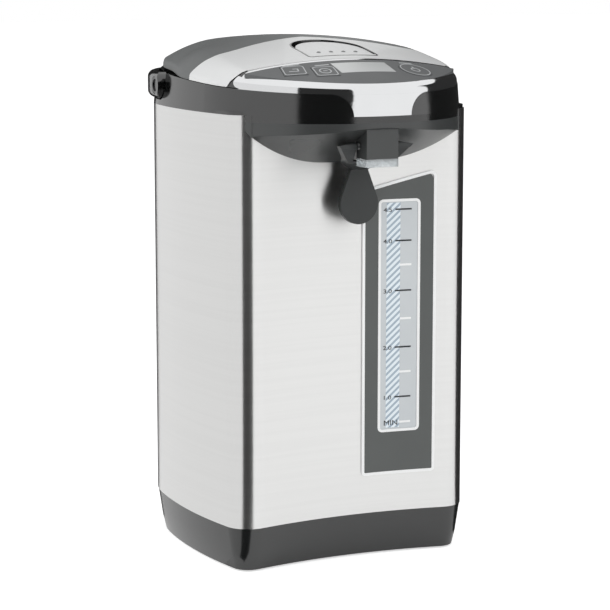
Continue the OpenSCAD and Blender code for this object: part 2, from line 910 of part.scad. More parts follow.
module lid_cover() {
    color("#cfd1d1")
        difference() {
            intersection() {
                cap_block();
                translate([0, 0, head_low]) linear_extrude(head_tall)
                    polygon([[-far, slot_y], [far, slot_y], [far, cover_rear - cover_rake * far],
                             [0, cover_rear], [-far, cover_rear - cover_rake * far]]);
            }
            on_deck() slab(-far, far, -far, far, -over, lid_gap);
            latch_block(0, 0, 0);
            crosswise(-latch_half - 3, latch_half + 3, flap_y, flap_z, flap_pin_r + pin_gap);
            slab(-bolt_half - 0.3, bolt_half + 0.3, slot_y - over, slot_y + bolt_length + 8, bolt_z - 0.3,
                 bolt_z + bolt_height + 0.3);
            slab(-4.6, 4.6, flap_y - 1.8, flap_y + 8.5, bolt_z, latch_floor + over);
        }
}

module lid_rear() {
    corner = mid_y - 6;
    color("#5a5c5c")
        difference() {
            intersection() {
                cap_block();
                translate([0, 0, head_low]) linear_extrude(head_tall)
                    polygon([[0, cover_rear + cover_gap], [far, cover_rear + cover_gap - cover_rake * far],
                             [far, far], [-far, far], [-far, cover_rear + cover_gap - cover_rake * far]]);
                union() {
                    translate([0, 0, head_low]) linear_extrude(head_tall)
                        polygon([[-far, -far], [far, -far], [far, corner], [half_width - cap_inset, corner],
                                 [lid_rear_radius, shoulder_y], [-lid_rear_radius, shoulder_y],
                                 [-half_width + cap_inset, corner], [-far, corner]]);
                    on_deck() {
                        upright(0, rear_y, -over, rear_skirt, lid_rear_radius);
                        translate([0, rear_y, rear_skirt])
                            cylinder(h = rear_shoulder * rear_slope, r1 = lid_rear_radius,
                                     r2 = lid_rear_radius - rear_shoulder);
                    }
                }
            }
            difference() {
                lid_hollow();
                slab(-far, far, -far, cover_rear + wall, head_low, head_low + head_tall);
            }
            on_deck() {
                slab(-far, far, -far, far, -over, lid_gap);
                difference() {
                    slab(-far, far, hinge_run, far, -over, hinge_lift);
                    crosswise(-far, far, hinge_run, hinge_lift, knuckle_r);
                }
                for (way = [-1, 1])
                    slab(way > 0 ? lug_x - move_gap : -lug_x - lug_width - move_gap,
                         way > 0 ? lug_x + lug_width + move_gap : -lug_x + move_gap,
                         hinge_run - knuckle_r - move_gap, far, -over, hinge_lift + knuckle_r + move_gap);
            }
            crosswise(-20, 20, hinge_y, hinge_z, hinge_pin_r + pin_gap);
        }
}

module lid_inner() {
    color("#c4c6c6")
        difference() {
            upright(0, rear_y, plug_low, deck_at(rear_y + end_r), plug_r);
            upright(0, rear_y, plug_low + 2 * sheet, deck_at(rear_y + end_r) + over, plug_r - 2 * sheet);
            on_deck() slab(-far, far, -far, far, lid_gap, 60);
        }
}

module lid_seal() {
    color("#8e9090")
        difference() {
            union() {
                upright(0, rear_y, plug_low - 3, plug_low, plug_r + 1);
                translate([0, rear_y, plug_low - 3]) cylinder(h = 1.4, r1 = seal_r, r2 = seal_r - 1);
            }
            upright(0, rear_y, plug_low - 4, plug_low + over, plug_r - 4);
        }
}

module hinge_pin() {
    color("#a8a8a8") crosswise(-18, 18, hinge_y, hinge_z, hinge_pin_r);
}

module latch_flap() {
    color("#d4d6d6") {
        difference() {
            union() {
                intersection() {
                    latch_block(0.6, flap_lead, finger_gap);
                    difference() {
                        dome(0.6);
                        dome(0.6 + flap_thick);
                    }
                }
                crosswise(-latch_half + 0.6, latch_half - 0.6, flap_y, flap_z, flap_barrel_r);
                slab(-4, 4, flap_y - 1, flap_y + 1, bolt_z + 1.8, flap_z);
            }
            crosswise(-latch_half - 1, latch_half + 1, flap_y, flap_z, flap_pin_r + pin_gap);
        }
        for (x = [-15, -5, 5, 15])
            translate([x, latch_y + 11.8, dome_at(x, latch_y + 11.8) - 0.6 - 1.1]) sphere(r = 1.7);
    }
}

module flap_pin() {
    color("#a8a8a8") crosswise(-latch_half - 2.8, latch_half + 2.8, flap_y, flap_z, flap_pin_r);
}

module latch_bolt() {
    color("#3c3e3e")
        difference() {
            slab(-bolt_half, bolt_half, slot_y + 0.1, slot_y + bolt_length, bolt_z, bolt_z + bolt_height);
            slab(-4.4, 4.4, flap_y - 1.6, flap_y + 2.2, bolt_z - over, bolt_z + bolt_height + over);
        }
}

module latch_spring() {
    start = slot_y + bolt_length + 0.05;
    color("#b0b0b0")
        translate([0, start, bolt_z + bolt_height / 2]) rotate([-90, 0, 0]) coil(1.5, 0.35, 6, 7.9);
}

module carry_handle() {
    color("#57595a")
        difference() {
            intersection() {
                head_block(handle_low, handle_low + handle_height, -handle_out, -handle_out);
                union() {
                    crosswise(-far, far, pivot_y, pivot_z, handle_height / 2);
                    slab(-far, far, pivot_y, far, handle_low - over, handle_low + handle_height + over);
                }
            }
            head_block(handle_low - over, handle_low + handle_height + over,
                       end_r - handle_inner, end_r - handle_inner);
            slab(-arm_in, arm_in, pivot_y - handle_height, pivot_y + handle_arm, handle_low - over,
                 handle_low + handle_height + over);
            crosswise(-far, far, pivot_y, pivot_z, handle_pin_r + pin_gap);
            for (way = [-1, 1])
                crosswise(way > 0 ? head_x : -far, way > 0 ? far : -head_x,
                          pivot_y, pivot_z, handle_head_r + 0.3);
        }
}

module handle_pins() {
    color("#8a8c8c")
        for (way = [-1, 1])
            difference() {
                union() {
                    crosswise(way > 0 ? shelf_r - 8 : -head_x - 0.05,
                              way > 0 ? head_x + 0.05 : -shelf_r + 8,
                              pivot_y, pivot_z, handle_pin_r);
                    crosswise(way > 0 ? head_x + 0.05 : -head_x - 2, way > 0 ? head_x + 2 : -head_x - 0.05,
                              pivot_y, pivot_z, handle_head_r);
                }
                crosswise(way > 0 ? head_x + 1 : -far, way > 0 ? far : -head_x - 1, pivot_y, pivot_z,
                          handle_head_r - 1.6);
            }
}

module spout_block() {
    duct_y = block_y + spout_depth / 2;
    color("#4c4e4e")
        difference() {
            slab(-spout_half, spout_half, block_y, block_back, spout_low, block_top);
            lengthwise(0, block_back - 4, block_back + over, pipe_height, pipe_r + fit_gap);
            lengthwise(0, duct_y, block_back, pipe_height, pipe_bore);
            upright(0, duct_y, spout_low - over, pipe_height, pipe_bore);
            crosswise(-spout_half - over, spout_half + over, lever_y, lever_z, lever_pin_r);
        }
}

module spout_tip() {
    duct_y = block_y + spout_depth / 2;
    color([0.86, 0.9, 0.92, 0.45])
        difference() {
            slab(-spout_half, spout_half, block_y, block_back, spout_low - tip_height, spout_low);
            slab(-spout_half + 1.4, spout_half - 1.4, block_y + 1.4, block_back - 1.4,
                 spout_low - tip_height - over, spout_low - 1.4);
            upright(0, duct_y, spout_low - 3, spout_low + over, pipe_bore);
        }
}

// right edge of the lever's paddle, where it touches the paddle's circle
function paddle_touch(n, c, r) =
    let (d = n - c, turn = atan2(d[1], d[0]) - acos(r / norm(d)))
    c + r * [cos(turn), sin(turn)];

// the lever's yoke and neck, seen from the front
module lever_front(touch, neck_z) {
    high = lever_z + ear_r;
    bar = spout_low - tip_height + 3.4;
    right = [[arm_x, bar], [arm_x, high], [arm_x + arm_width, high], [wing_x, lever_z + 0.6],
             [arm_x + arm_width, bar - 1], [neck_half, neck_z], touch];
    polygon(concat(right, [for (i = [len(right) - 1:-1:0]) [-right[i][0], right[i][1]]]));
}

module lever() {
    neck_z = spout_low - tip_height - 4;
    back_y = paddle_y + paddle_thick;
    strap_y = block_back + 1.7;
    strap_z = spout_low - tip_height + 1.6;
    centre = [0, paddle_low + paddle_r];
    touch = paddle_touch([neck_half, neck_z], centre, paddle_r);
    color("#454747")
        difference() {
            union() {
                intersection() {
                    front_prism(block_y - 20, face_y) lever_front(touch, neck_z);
                    side_prism(-wing_x - over, wing_x + over)
                        polygon([[lever_y - ear_r, lever_z], [strap_y, strap_z], [paddle_y, neck_z - 1],
                                 [paddle_y, paddle_low], [back_y, paddle_low], [back_y, neck_z + 1.6],
                                 [strap_y + 4.6, strap_z + 4.2], [lever_y + ear_r, lever_z]]);
                }
                intersection() {
                    front_prism(block_y - 20, face_y) lever_front(touch, neck_z);
                    crosswise(-wing_x - over, wing_x + over, lever_y, lever_z, ear_r);
                }
                intersection() {
                    lengthwise(0, paddle_y, back_y, centre[1], paddle_r);
                    slab(-far, far, paddle_y - over, back_y + over, paddle_low - over, touch[1]);
                }
            }
            crosswise(-arm_x - arm_width, arm_x + arm_width, lever_y, lever_z, lever_pin_r + pin_gap);
        }
}

module lever_pin() {
    color("#a8a8a8")
        crosswise(-arm_x - arm_width + 0.2, arm_x + arm_width - 0.2, lever_y, lever_z, lever_pin_r);
}

module lever_spring() {
    color("#b0b0b0")
        translate([-arm_x + 0.1, lever_y, lever_z]) rotate([0, 90, 0])
            coil(lever_pin_r + 0.75, 0.35, 2, arm_x - spout_half - 0.2);
}

module lever_switch() {
    color("#2c2e2e") {
        slab(-switch_half, switch_half, switch_y, switch_y + 6, switch_top - 9, switch_top);
        upright(0, switch_y + 3, switch_top - 12.3, switch_top - 8, 1.4);
    }
}

module gauge_outline() {
    round = 5;
    difference() {
        polygon([[gauge_left, gauge_low], [gauge_right, gauge_low], [gauge_right, gauge_high_right - round],
                 [gauge_right - 1.6, gauge_high_right - 1.5], [gauge_right - round, gauge_high_right],
                 [gauge_left, gauge_high_left]]);
        translate([window_left, window_low]) square([window_right - window_left, window_high - window_low]);
    }
}

module gauge_plate() {
    color("#5c5e60")
        intersection() {
            front_prism(face_y - 40, face_y + 10) gauge_outline();
            front_skin(0.05, gauge_thick);
        }
}

module gauge_window() {
    color([0.82, 0.87, 0.9, 0.6])
        intersection() {
            front_prism(face_y - 40, face_y + 10)
                translate([window_left + fit_gap, window_low + fit_gap])
                    square([window_right - window_left - 2 * fit_gap,
                            window_high - window_low - 2 * fit_gap]);
            front_skin(0.05, gauge_thick - 0.2);
        }
}

module sight_tube() {
    color([0.85, 0.9, 0.92, 0.5])
        difference() {
            upright(tube_x, tube_y, tube_low, tube_high, tube_r);
            upright(tube_x, tube_y, tube_low - over, tube_high + over, tube_r - tube_wall);
        }
}

module riser_lower() {
    color("#d9dad6")
        difference() {
            union() {
                upright(tube_x, tube_y, pump_top, tube_low, pipe_r);
                upright(tube_x, tube_y, tube_low - 4, tube_low + 5, cup_r);
            }
            upright(tube_x, tube_y, pump_top - over, tube_low + 6, pipe_bore);
            upright(tube_x, tube_y, tube_low, tube_low + 6, tube_r + 0.05);
        }
}

// the upper water way, from the sight tube to the spout block
module riser_path(r, extra) {
    upright(tube_x, tube_y, tube_high - extra, pipe_height - pipe_bend, r);
    translate([tube_x - pipe_bend, tube_y, pipe_height - pipe_bend])
        rotate([90, 0, 0]) quarter(pipe_bend, r);
    crosswise(pipe_bend, tube_x - pipe_bend, tube_y, pipe_height, r);
    translate([pipe_bend, tube_y - pipe_bend, pipe_height]) rotate([0, 0, 90]) quarter(pipe_bend, r);
    lengthwise(0, block_back - 3.9 - extra, tube_y - pipe_bend, pipe_height, r);
}

module riser_upper() {
    color("#d9dad6")
        difference() {
            union() {
                upright(tube_x, tube_y, tube_high - 5, tube_high + 4, cup_r);
                riser_path(pipe_r, 0);
            }
            upright(tube_x, tube_y, tube_high - 6, tube_high, tube_r + 0.05);
            riser_path(pipe_bore, over);
        }
}

module vessel() {
    shoulder = jacket_top - 12;
    outer = vessel_r + sheet;
    slope = outer - mouth_r - sheet;
    color("#c8caca")
        difference() {
            translate([0, rear_y, 0]) rotate_extrude()
                polygon([[0, vessel_floor - sheet], [vessel_r - 10, vessel_floor - sheet],
                         [outer, vessel_floor + 10],
                         [outer, shoulder], [mouth_r + sheet, shoulder + slope],
                         [mouth_r + sheet, lip_height],
                         [mouth_r + lip_width, lip_height], [mouth_r + lip_width, lip_height + sheet],
                         [mouth_r, lip_height + sheet], [mouth_r, shoulder + slope - 0.3],
                         [vessel_r, shoulder - 0.3], [vessel_r, vessel_floor + 10.3],
                         [vessel_r - 10.3, vessel_floor], [0, vessel_floor]]);
            upright(tube_x, suck_y, vessel_floor - 3, vessel_floor + 3, pipe_bore);
        }
}

module heater() {
    color("#7d6a52")
        difference() {
            union() {
                upright(0, rear_y, vessel_floor - sheet - 4, vessel_floor - sheet, heater_r);
                for (x = [-8, 8]) slab(x - 2.4, x + 2.4, rear_y + heater_r - 12, rear_y + heater_r + 4,
                                       vessel_floor - sheet - 4, vessel_floor - sheet - 3.2);
            }
            upright(0, rear_y, vessel_floor - sheet - 5, vessel_floor - sheet - 2, heater_r / 2);
        }
}

module thermostat() {
    top = vessel_floor - sheet - 2;
    color("#d8d4c4") {
        upright(0, rear_y, top - 7, top, 9);
        for (x = [-5, 5]) slab(x - 0.4, x + 0.4, rear_y - 3, rear_y + 3, top - 13, top - 6);
    }
}

// the lower water way, from the vessel's floor to the pump
module inlet_path(r, extra) {
    level = (vessel_floor - sheet + pump_top) / 2;
    upright(tube_x, suck_y, level + pipe_bend, vessel_floor - sheet + extra, r);
    translate([tube_x, suck_y - pipe_bend, level + pipe_bend]) rotate([90, 0, 90]) rotate([0, 0, -90])
        quarter(pipe_bend, r);
    lengthwise(tube_x, pump_y + pipe_bend, suck_y - pipe_bend, level, r);
    translate([tube_x, pump_y + pipe_bend, level - pipe_bend]) rotate([90, 0, 90]) rotate([0, 0, 90])
        quarter(pipe_bend, r);
    upright(tube_x, pump_y, pump_top - extra, level - pipe_bend, r);
}

module inlet_pipe() {
    color("#d9dad6")
        difference() {
            inlet_path(pipe_r, 0);
            inlet_path(pipe_bore, over);
        }
}

module pump_housing() {
    color("#e0ded6")
        difference() {
            upright(tube_x, pump_y, pump_low, pump_top, pump_r);
            upright(tube_x, pump_y, pump_low + 3, pump_top - 2.4, impeller_r + 1.2);
            upright(tube_x, pump_y, pump_low - over, pump_low + 4, shaft_r + 0.3);
            upright(tube_x, pump_y, pump_top - 4, pump_top + over, pipe_bore);
            upright(tube_x, tube_y, pump_top - 5, pump_top + over, pipe_bore - 0.4);
        }
}

module pump_motor() {
    color("#9b9d9d") {
        upright(tube_x, pump_y, plate_top, pump_low, motor_r);
        upright(tube_x, pump_y, pump_low - over, pump_low + 8, shaft_r);
    }
}

module impeller() {
    low = pump_low + 3.6;
    color("#f0eee6")
        difference() {
            union() {
                upright(tube_x, pump_y, low, low + 1.6, impeller_r);
                upright(tube_x, pump_y, low, low + 6, 4);
                for (turn = [0:60:300])
                    translate([tube_x, pump_y, low]) rotate([0, 0, turn])
                        slab(3, impeller_r - 0.4, -0.6, 0.6, 1, 6);
            }
            upright(tube_x, pump_y, low - over, low + 7, shaft_r + pin_gap);
        }
}

module power_board() {
    top = board_z + board_thick;
    color("#2f5d46") slab(-board_half, board_half, board_y, board_y + board_depth, board_z, top);
    color("#2c2e2e") {
        slab(-board_half * 0.85, -board_half * 0.35,
             board_y + board_depth * 0.15, board_y + board_depth * 0.43,
             top - board_thick / 2, top + 14);
        upright(board_half * 0.1, board_y + board_depth * 0.32, top - board_thick / 2, top + 12, 6);
        slab(board_half * 0.45, board_half * 0.85,
             board_y + board_depth * 0.54, board_y + board_depth * 0.86,
             top - board_thick / 2, top + 10);
    }
}

module inlet_socket() {
    back = inlet_face;
    color("#262828")
        difference() {
            union() {
                slab(-inlet_half, inlet_half, back - inlet_depth, back, plate_top + 3, inlet_top);
                slab(-inlet_half, inlet_half, back - inlet_depth, back - inlet_depth + 8,
                     plate_top, plate_top + 4);
            }
            slab(-inlet_mouth, inlet_mouth, back - inlet_depth + 10, back + over,
                 plate_top + 8, inlet_top - 4);
        }
}

module inlet_pins() {
    z = (plate_top + 8 + inlet_top - 4) / 2;
    color("#c9b37a")
        for (x = [-5.5, 0, 5.5]) lengthwise(x, inlet_face - inlet_depth + 10, inlet_face - 6, z, 1.2);
}

// places that follow from the pieces above
head_x = half_width + handle_out - 4.6;
switch_half = 4;
switch_y = block_back + 11;
switch_top = spout_low + 12.4;
suck_y = rear_y - sqrt(pow(heater_r + 2 * pipe_r, 2) - tube_x * tube_x);
inlet_face = rear_y + end_r - 4.6;

base_shell();
base_plate();
feet();
base_screws();
jacket();
collar();
apron();
front_trim();
control_panel();
display();
key_left();
key_middle();
key_right();
control_board();
lid_cover();
lid_rear();
lid_inner();
lid_seal();
hinge_pin();
latch_flap();
flap_pin();
latch_bolt();
latch_spring();
carry_handle();
handle_pins();
spout_block();
spout_tip();
lever();
lever_pin();
lever_spring();
lever_switch();
gauge_plate();
gauge_window();
sight_tube();
riser_lower();
riser_upper();
vessel();
heater();
thermostat();
inlet_pipe();
pump_housing();
pump_motor();
impeller();
power_board();
inlet_socket();
inlet_pins();
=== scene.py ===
"""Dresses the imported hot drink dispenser: camera, studio, finishes, rounded shells and printed marks."""
import json
import math

import bmesh
import bpy
from mathutils import Matrix, Vector


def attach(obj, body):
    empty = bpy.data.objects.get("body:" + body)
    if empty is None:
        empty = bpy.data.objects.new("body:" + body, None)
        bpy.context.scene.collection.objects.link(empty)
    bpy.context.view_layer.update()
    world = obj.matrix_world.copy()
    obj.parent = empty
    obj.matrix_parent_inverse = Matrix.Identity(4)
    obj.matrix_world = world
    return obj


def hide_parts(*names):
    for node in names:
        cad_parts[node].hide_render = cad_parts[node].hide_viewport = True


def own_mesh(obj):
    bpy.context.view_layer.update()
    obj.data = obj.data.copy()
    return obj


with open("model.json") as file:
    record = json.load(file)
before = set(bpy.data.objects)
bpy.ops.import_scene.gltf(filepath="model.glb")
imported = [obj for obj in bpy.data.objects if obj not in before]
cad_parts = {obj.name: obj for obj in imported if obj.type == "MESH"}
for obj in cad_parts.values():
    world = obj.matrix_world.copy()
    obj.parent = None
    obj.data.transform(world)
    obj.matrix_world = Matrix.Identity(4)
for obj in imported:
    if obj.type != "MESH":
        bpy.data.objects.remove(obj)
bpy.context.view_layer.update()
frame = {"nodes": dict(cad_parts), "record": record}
nodes = frame["nodes"]
record = frame["record"]
scene = bpy.context.scene

# Sizes in metres, as in the part's source
MM = 0.001
HALF_WIDTH = 104 * MM
SIDE_RADIUS = 384 * MM
END_OFFSET = 33 * MM
MID_Y = -2.2 * MM
SIDE_X = SIDE_RADIUS - HALF_WIDTH
END_RADIUS = SIDE_RADIUS - math.hypot(SIDE_X, END_OFFSET)
REAR_Y = MID_Y + END_OFFSET
FRONT_Y = MID_Y - END_OFFSET
FACE_Y = MID_Y - 81 * MM
FRONT_RADIUS = 357 * MM
HOLLOW_Y = FACE_Y - FRONT_RADIUS
NOSE_Y = FRONT_Y - END_RADIUS
DOME_RADIUS = 456.04 * MM
DOME_Z = 388.2 * MM - DOME_RADIUS
SLOT_Y = NOSE_Y + 57.5 * MM
TRIM_Y = SLOT_Y - 1.2 * MM
KEY_PROUD = 0.4 * MM


def dome_at(x, y):
    """Height of the lid's dome."""
    return DOME_Z + math.sqrt(DOME_RADIUS ** 2 - x * x - (y - REAR_Y) ** 2)


def front_at(x, off):
    """Depth of the body's hollow front, off metres ahead of the jacket."""
    return HOLLOW_Y + math.sqrt((FRONT_RADIUS - off) ** 2 - x * x)


# Camera
CAMERA_TURN = math.radians(25.037)
CAMERA_PITCH = math.radians(9.087)
CAMERA_TARGET = Vector((1.933, 0, 181.164)) * MM
CAMERA_DISTANCE = 1.71394
FOCAL_PIXELS = 2215.89
PICTURE_WIDTH = 610
SENSOR_WIDTH = 36


def place_camera():
    level = math.cos(CAMERA_PITCH)
    away = Vector((-math.sin(CAMERA_TURN) * level, -math.cos(CAMERA_TURN) * level, math.sin(CAMERA_PITCH)))
    data = bpy.data.cameras.new("photo_camera")
    data.sensor_width = SENSOR_WIDTH
    data.sensor_fit = "HORIZONTAL"
    data.lens = FOCAL_PIXELS / PICTURE_WIDTH * SENSOR_WIDTH
    data.clip_start = 0.05
    data.clip_end = 50
    camera = bpy.data.objects.new("photo_camera", data)
    camera.location = CAMERA_TARGET + away * CAMERA_DISTANCE
    camera.rotation_euler = (-away).to_track_quat("-Z", "Y").to_euler()
    scene.collection.objects.link(camera)
    scene.camera = camera


# Nodes that the finishes are put together from
def feed(tree, socket, value):
    """Sets a socket to a plain value, or links another socket to it."""
    if isinstance(value, bpy.types.NodeSocket):
        tree.links.new(value, socket)
    else:
        socket.default_value = value


def object_coords(tree):
    return tree.nodes.new("ShaderNodeTexCoord").outputs["Object"]


def math_node(tree, operation, first, second=None):
    node = tree.nodes.new("ShaderNodeMath")
    node.operation = operation
    feed(tree, node.inputs[0], first)
    if second is not None:
        feed(tree, node.inputs[1], second)
    return node.outputs[0]


def noise_node(tree, vector, scale, detail):
    node = tree.nodes.new("ShaderNodeTexNoise")
    node.inputs["Detail"].default_value = detail
    feed(tree, node.inputs["Vector"], vector)
    feed(tree, node.inputs["Scale"], scale)
    return node.outputs["Fac"]


def mix_node(tree, factor, first, second):
    """Mixes two colours."""
    node = tree.nodes.new("ShaderNodeMix")
    node.data_type = "RGBA"
    feed(tree, node.inputs["Factor"], factor)
    feed(tree, node.inputs["A"], first)
    feed(tree, node.inputs["B"], second)
    return node.outputs["Result"]


def range_node(tree, value, given, wanted, interpolation="LINEAR"):
    """Maps one range of values to another and holds them inside it."""
    node = tree.nodes.new("ShaderNodeMapRange")
    node.interpolation_type = interpolation
    feed(tree, node.inputs["Value"], value)
    for label, limit in zip(("From Min", "From Max", "To Min", "To Max"), (*given, *wanted)):
        feed(tree, node.inputs[label], limit)
    return node.outputs["Result"]


# Node groups that several finishes share
def new_group(name, inputs, outputs):
    group = bpy.data.node_groups.new(name, "ShaderNodeTree")
    for label, kind, value in inputs:
        socket = group.interface.new_socket(label, in_out="INPUT", socket_type=kind)
        socket.default_value = value
    for label, kind in outputs:
        group.interface.new_socket(label, in_out="OUTPUT", socket_type=kind)
    return group, group.nodes.new("NodeGroupInput"), group.nodes.new("NodeGroupOutput")


def make_tone_group():
    """Two close tones that wander over the surface, and a roughness that wanders more broadly."""
    group, given, result = new_group(
        "Wandering Tone",
        [("Dark", "NodeSocketColor", (0, 0, 0, 1)), ("Light", "NodeSocketColor", (1, 1, 1, 1)),
         ("Scale", "NodeSocketFloat", 40.0), ("Rough Low", "NodeSocketFloat", 0.2),
         ("Rough High", "NodeSocketFloat", 0.3)],
        [("Color", "NodeSocketColor"), ("Roughness", "NodeSocketFloat")])
    coords = object_coords(group)
    wander = noise_node(group, coords, given.outputs["Scale"], 4)
    colour = mix_node(group, wander, given.outputs["Dark"], given.outputs["Light"])
    group.links.new(colour, result.inputs["Color"])
    smear = noise_node(group, coords, math_node(group, "MULTIPLY", given.outputs["Scale"], 0.37), 2)
    limits = (given.outputs["Rough Low"], given.outputs["Rough High"])
    group.links.new(range_node(group, smear, (0.15, 0.85), limits, "SMOOTHSTEP"), result.inputs["Roughness"])
    return group


def make_grain_group():
    """The fine pebble of a moulding tool."""
    group, given, result = new_group(
        "Moulded Grain", [("Scale", "NodeSocketFloat", 2500.0)], [("Height", "NodeSocketFloat")])
    coords = object_coords(group)
    fine = noise_node(group, coords, given.outputs["Scale"], 2)
    broad = noise_node(group, coords, math_node(group, "MULTIPLY", given.outputs["Scale"], 0.08), 2)
    group.links.new(math_node(group, "ADD", fine, broad), result.inputs["Height"])
    return group


def make_brush_group():
    """Long level scratches of brushed sheet, and broader streaks with no lone line among them."""
    group, given, result = new_group(
        "Brushed Lines", [("Fineness", "NodeSocketFloat", 1800.0)],
        [("Height", "NodeSocketFloat"), ("Streak", "NodeSocketFloat")])
    stretch = group.nodes.new("ShaderNodeMapping")
    stretch.inputs["Scale"].default_value = (0.012, 0.012, 1.0)
    group.links.new(object_coords(group), stretch.inputs["Vector"])
    lines = stretch.outputs["Vector"]
    group.links.new(noise_node(group, lines, given.outputs["Fineness"], 3), result.inputs["Height"])
    broad = noise_node(group, lines, math_node(group, "MULTIPLY", given.outputs["Fineness"], 0.2), 2)
    group.links.new(range_node(group, broad, (0.38, 0.62), (0.0, 1.0)), result.inputs["Streak"])
    return group


TONE = make_tone_group()
GRAIN = make_grain_group()
BRUSH = make_brush_group()


# Finishes
def new_material(name):
    material = bpy.data.materials.new(name)
    material.use_nodes = True
    return material, material.node_tree, material.node_tree.nodes["Principled BSDF"]


def place_group(tree, group, values):
    node = tree.nodes.new("ShaderNodeGroup")
    node.node_tree = group
    for label, value in values.items():
        node.inputs[label].default_value = value
    return node


def shade(level):
    """Linear value of a grey or a colour given in picture levels, 0 to 255."""
    linear = [v / 255 / 12.92 if v / 255 <= 0.04045 else ((v / 255 + 0.055) / 1.055) ** 2.4 for v in level]
    return (*linear, 1.0)


def add_tone(tree, shader, dark, light, scale, rough):
    """Feeds a shader its wandering tone and roughness."""
    tone = place_group(tree, TONE, {"Dark": shade(dark), "Light": shade(light), "Scale": scale,
                                    "Rough Low": rough[0], "Rough High": rough[1]})
    tree.links.new(tone.outputs["Color"], shader.inputs["Base Color"])
    tree.links.new(tone.outputs["Roughness"], shader.inputs["Roughness"])


def add_bump(tree, shader, height, strength, distance):
    bump = tree.nodes.new("ShaderNodeBump")
    bump.inputs["Strength"].default_value = strength
    bump.inputs["Distance"].default_value = distance
    tree.links.new(height, bump.inputs["Height"])
    tree.links.new(bump.outputs["Normal"], shader.inputs["Normal"])


def plain_finish(name, dark, light, rough, scale=40.0, grain=2500.0, bump=0.06, metallic=0.0, ior=1.5,
                 coat=0.0):
    """A moulded, painted or plated finish from two close tones, a wandering gloss and a fine grain."""
    material, tree, shader = new_material(name)
    add_tone(tree, shader, dark, light, scale, rough)
    shader.inputs["Metallic"].default_value = metallic
    shader.inputs["IOR"].default_value = ior
    shader.inputs["Coat Weight"].default_value = coat
    shader.inputs["Coat Roughness"].default_value = 0.06
    pebble = place_group(tree, GRAIN, {"Scale": grain})
    add_bump(tree, shader, pebble.outputs["Height"], strength=bump, distance=0.0002)
    return material


def brushed_finish(name, dark, light, rough, fineness, bump, aniso):
    """Brushed sheet metal with level lines."""
    material, tree, shader = new_material(name)
    lines = place_group(tree, BRUSH, {"Fineness": fineness})
    streak = lines.outputs["Streak"]
    tree.links.new(mix_node(tree, streak, shade(dark), shade(light)), shader.inputs["Base Color"])
    tree.links.new(range_node(tree, streak, (0.0, 1.0), rough), shader.inputs["Roughness"])
    shader.inputs["Metallic"].default_value = 1.0
    shader.inputs["Anisotropic"].default_value = aniso
    shader.inputs["Anisotropic Rotation"].default_value = 0.25
    add_bump(tree, shader, lines.outputs["Height"], strength=bump, distance=0.0001)
    return material


def clear_finish(name, dark, light, rough, ior, clear):
    """Clear moulded plastic with faint flow marks."""
    material, tree, shader = new_material(name)
    add_tone(tree, shader, dark, light, scale=60.0, rough=rough)
    shader.inputs["IOR"].default_value = ior
    shader.inputs["Transmission Weight"].default_value = clear
    flow = noise_node(tree, object_coords(tree), scale=420.0, detail=1)
    add_bump(tree, shader, flow, strength=0.7, distance=0.001)
    return material


def hatch_finish(name, first, second, pitch, slope, share):
    """Slanting stripes on the level gauge."""
    material, tree, shader = new_material(name)
    split = tree.nodes.new("ShaderNodeSeparateXYZ")
    tree.links.new(object_coords(tree), split.inputs["Vector"])
    across = math_node(tree, "MULTIPLY", split.outputs["X"], slope)
    slant = math_node(tree, "ADD", across, split.outputs["Z"])
    phase = math_node(tree, "FRACT", math_node(tree, "DIVIDE", slant, pitch))
    stripe = math_node(tree, "GREATER_THAN", phase, share)
    tree.links.new(mix_node(tree, stripe, shade(first), shade(second)), shader.inputs["Base Color"])
    shader.inputs["Roughness"].default_value = 0.3
    return material


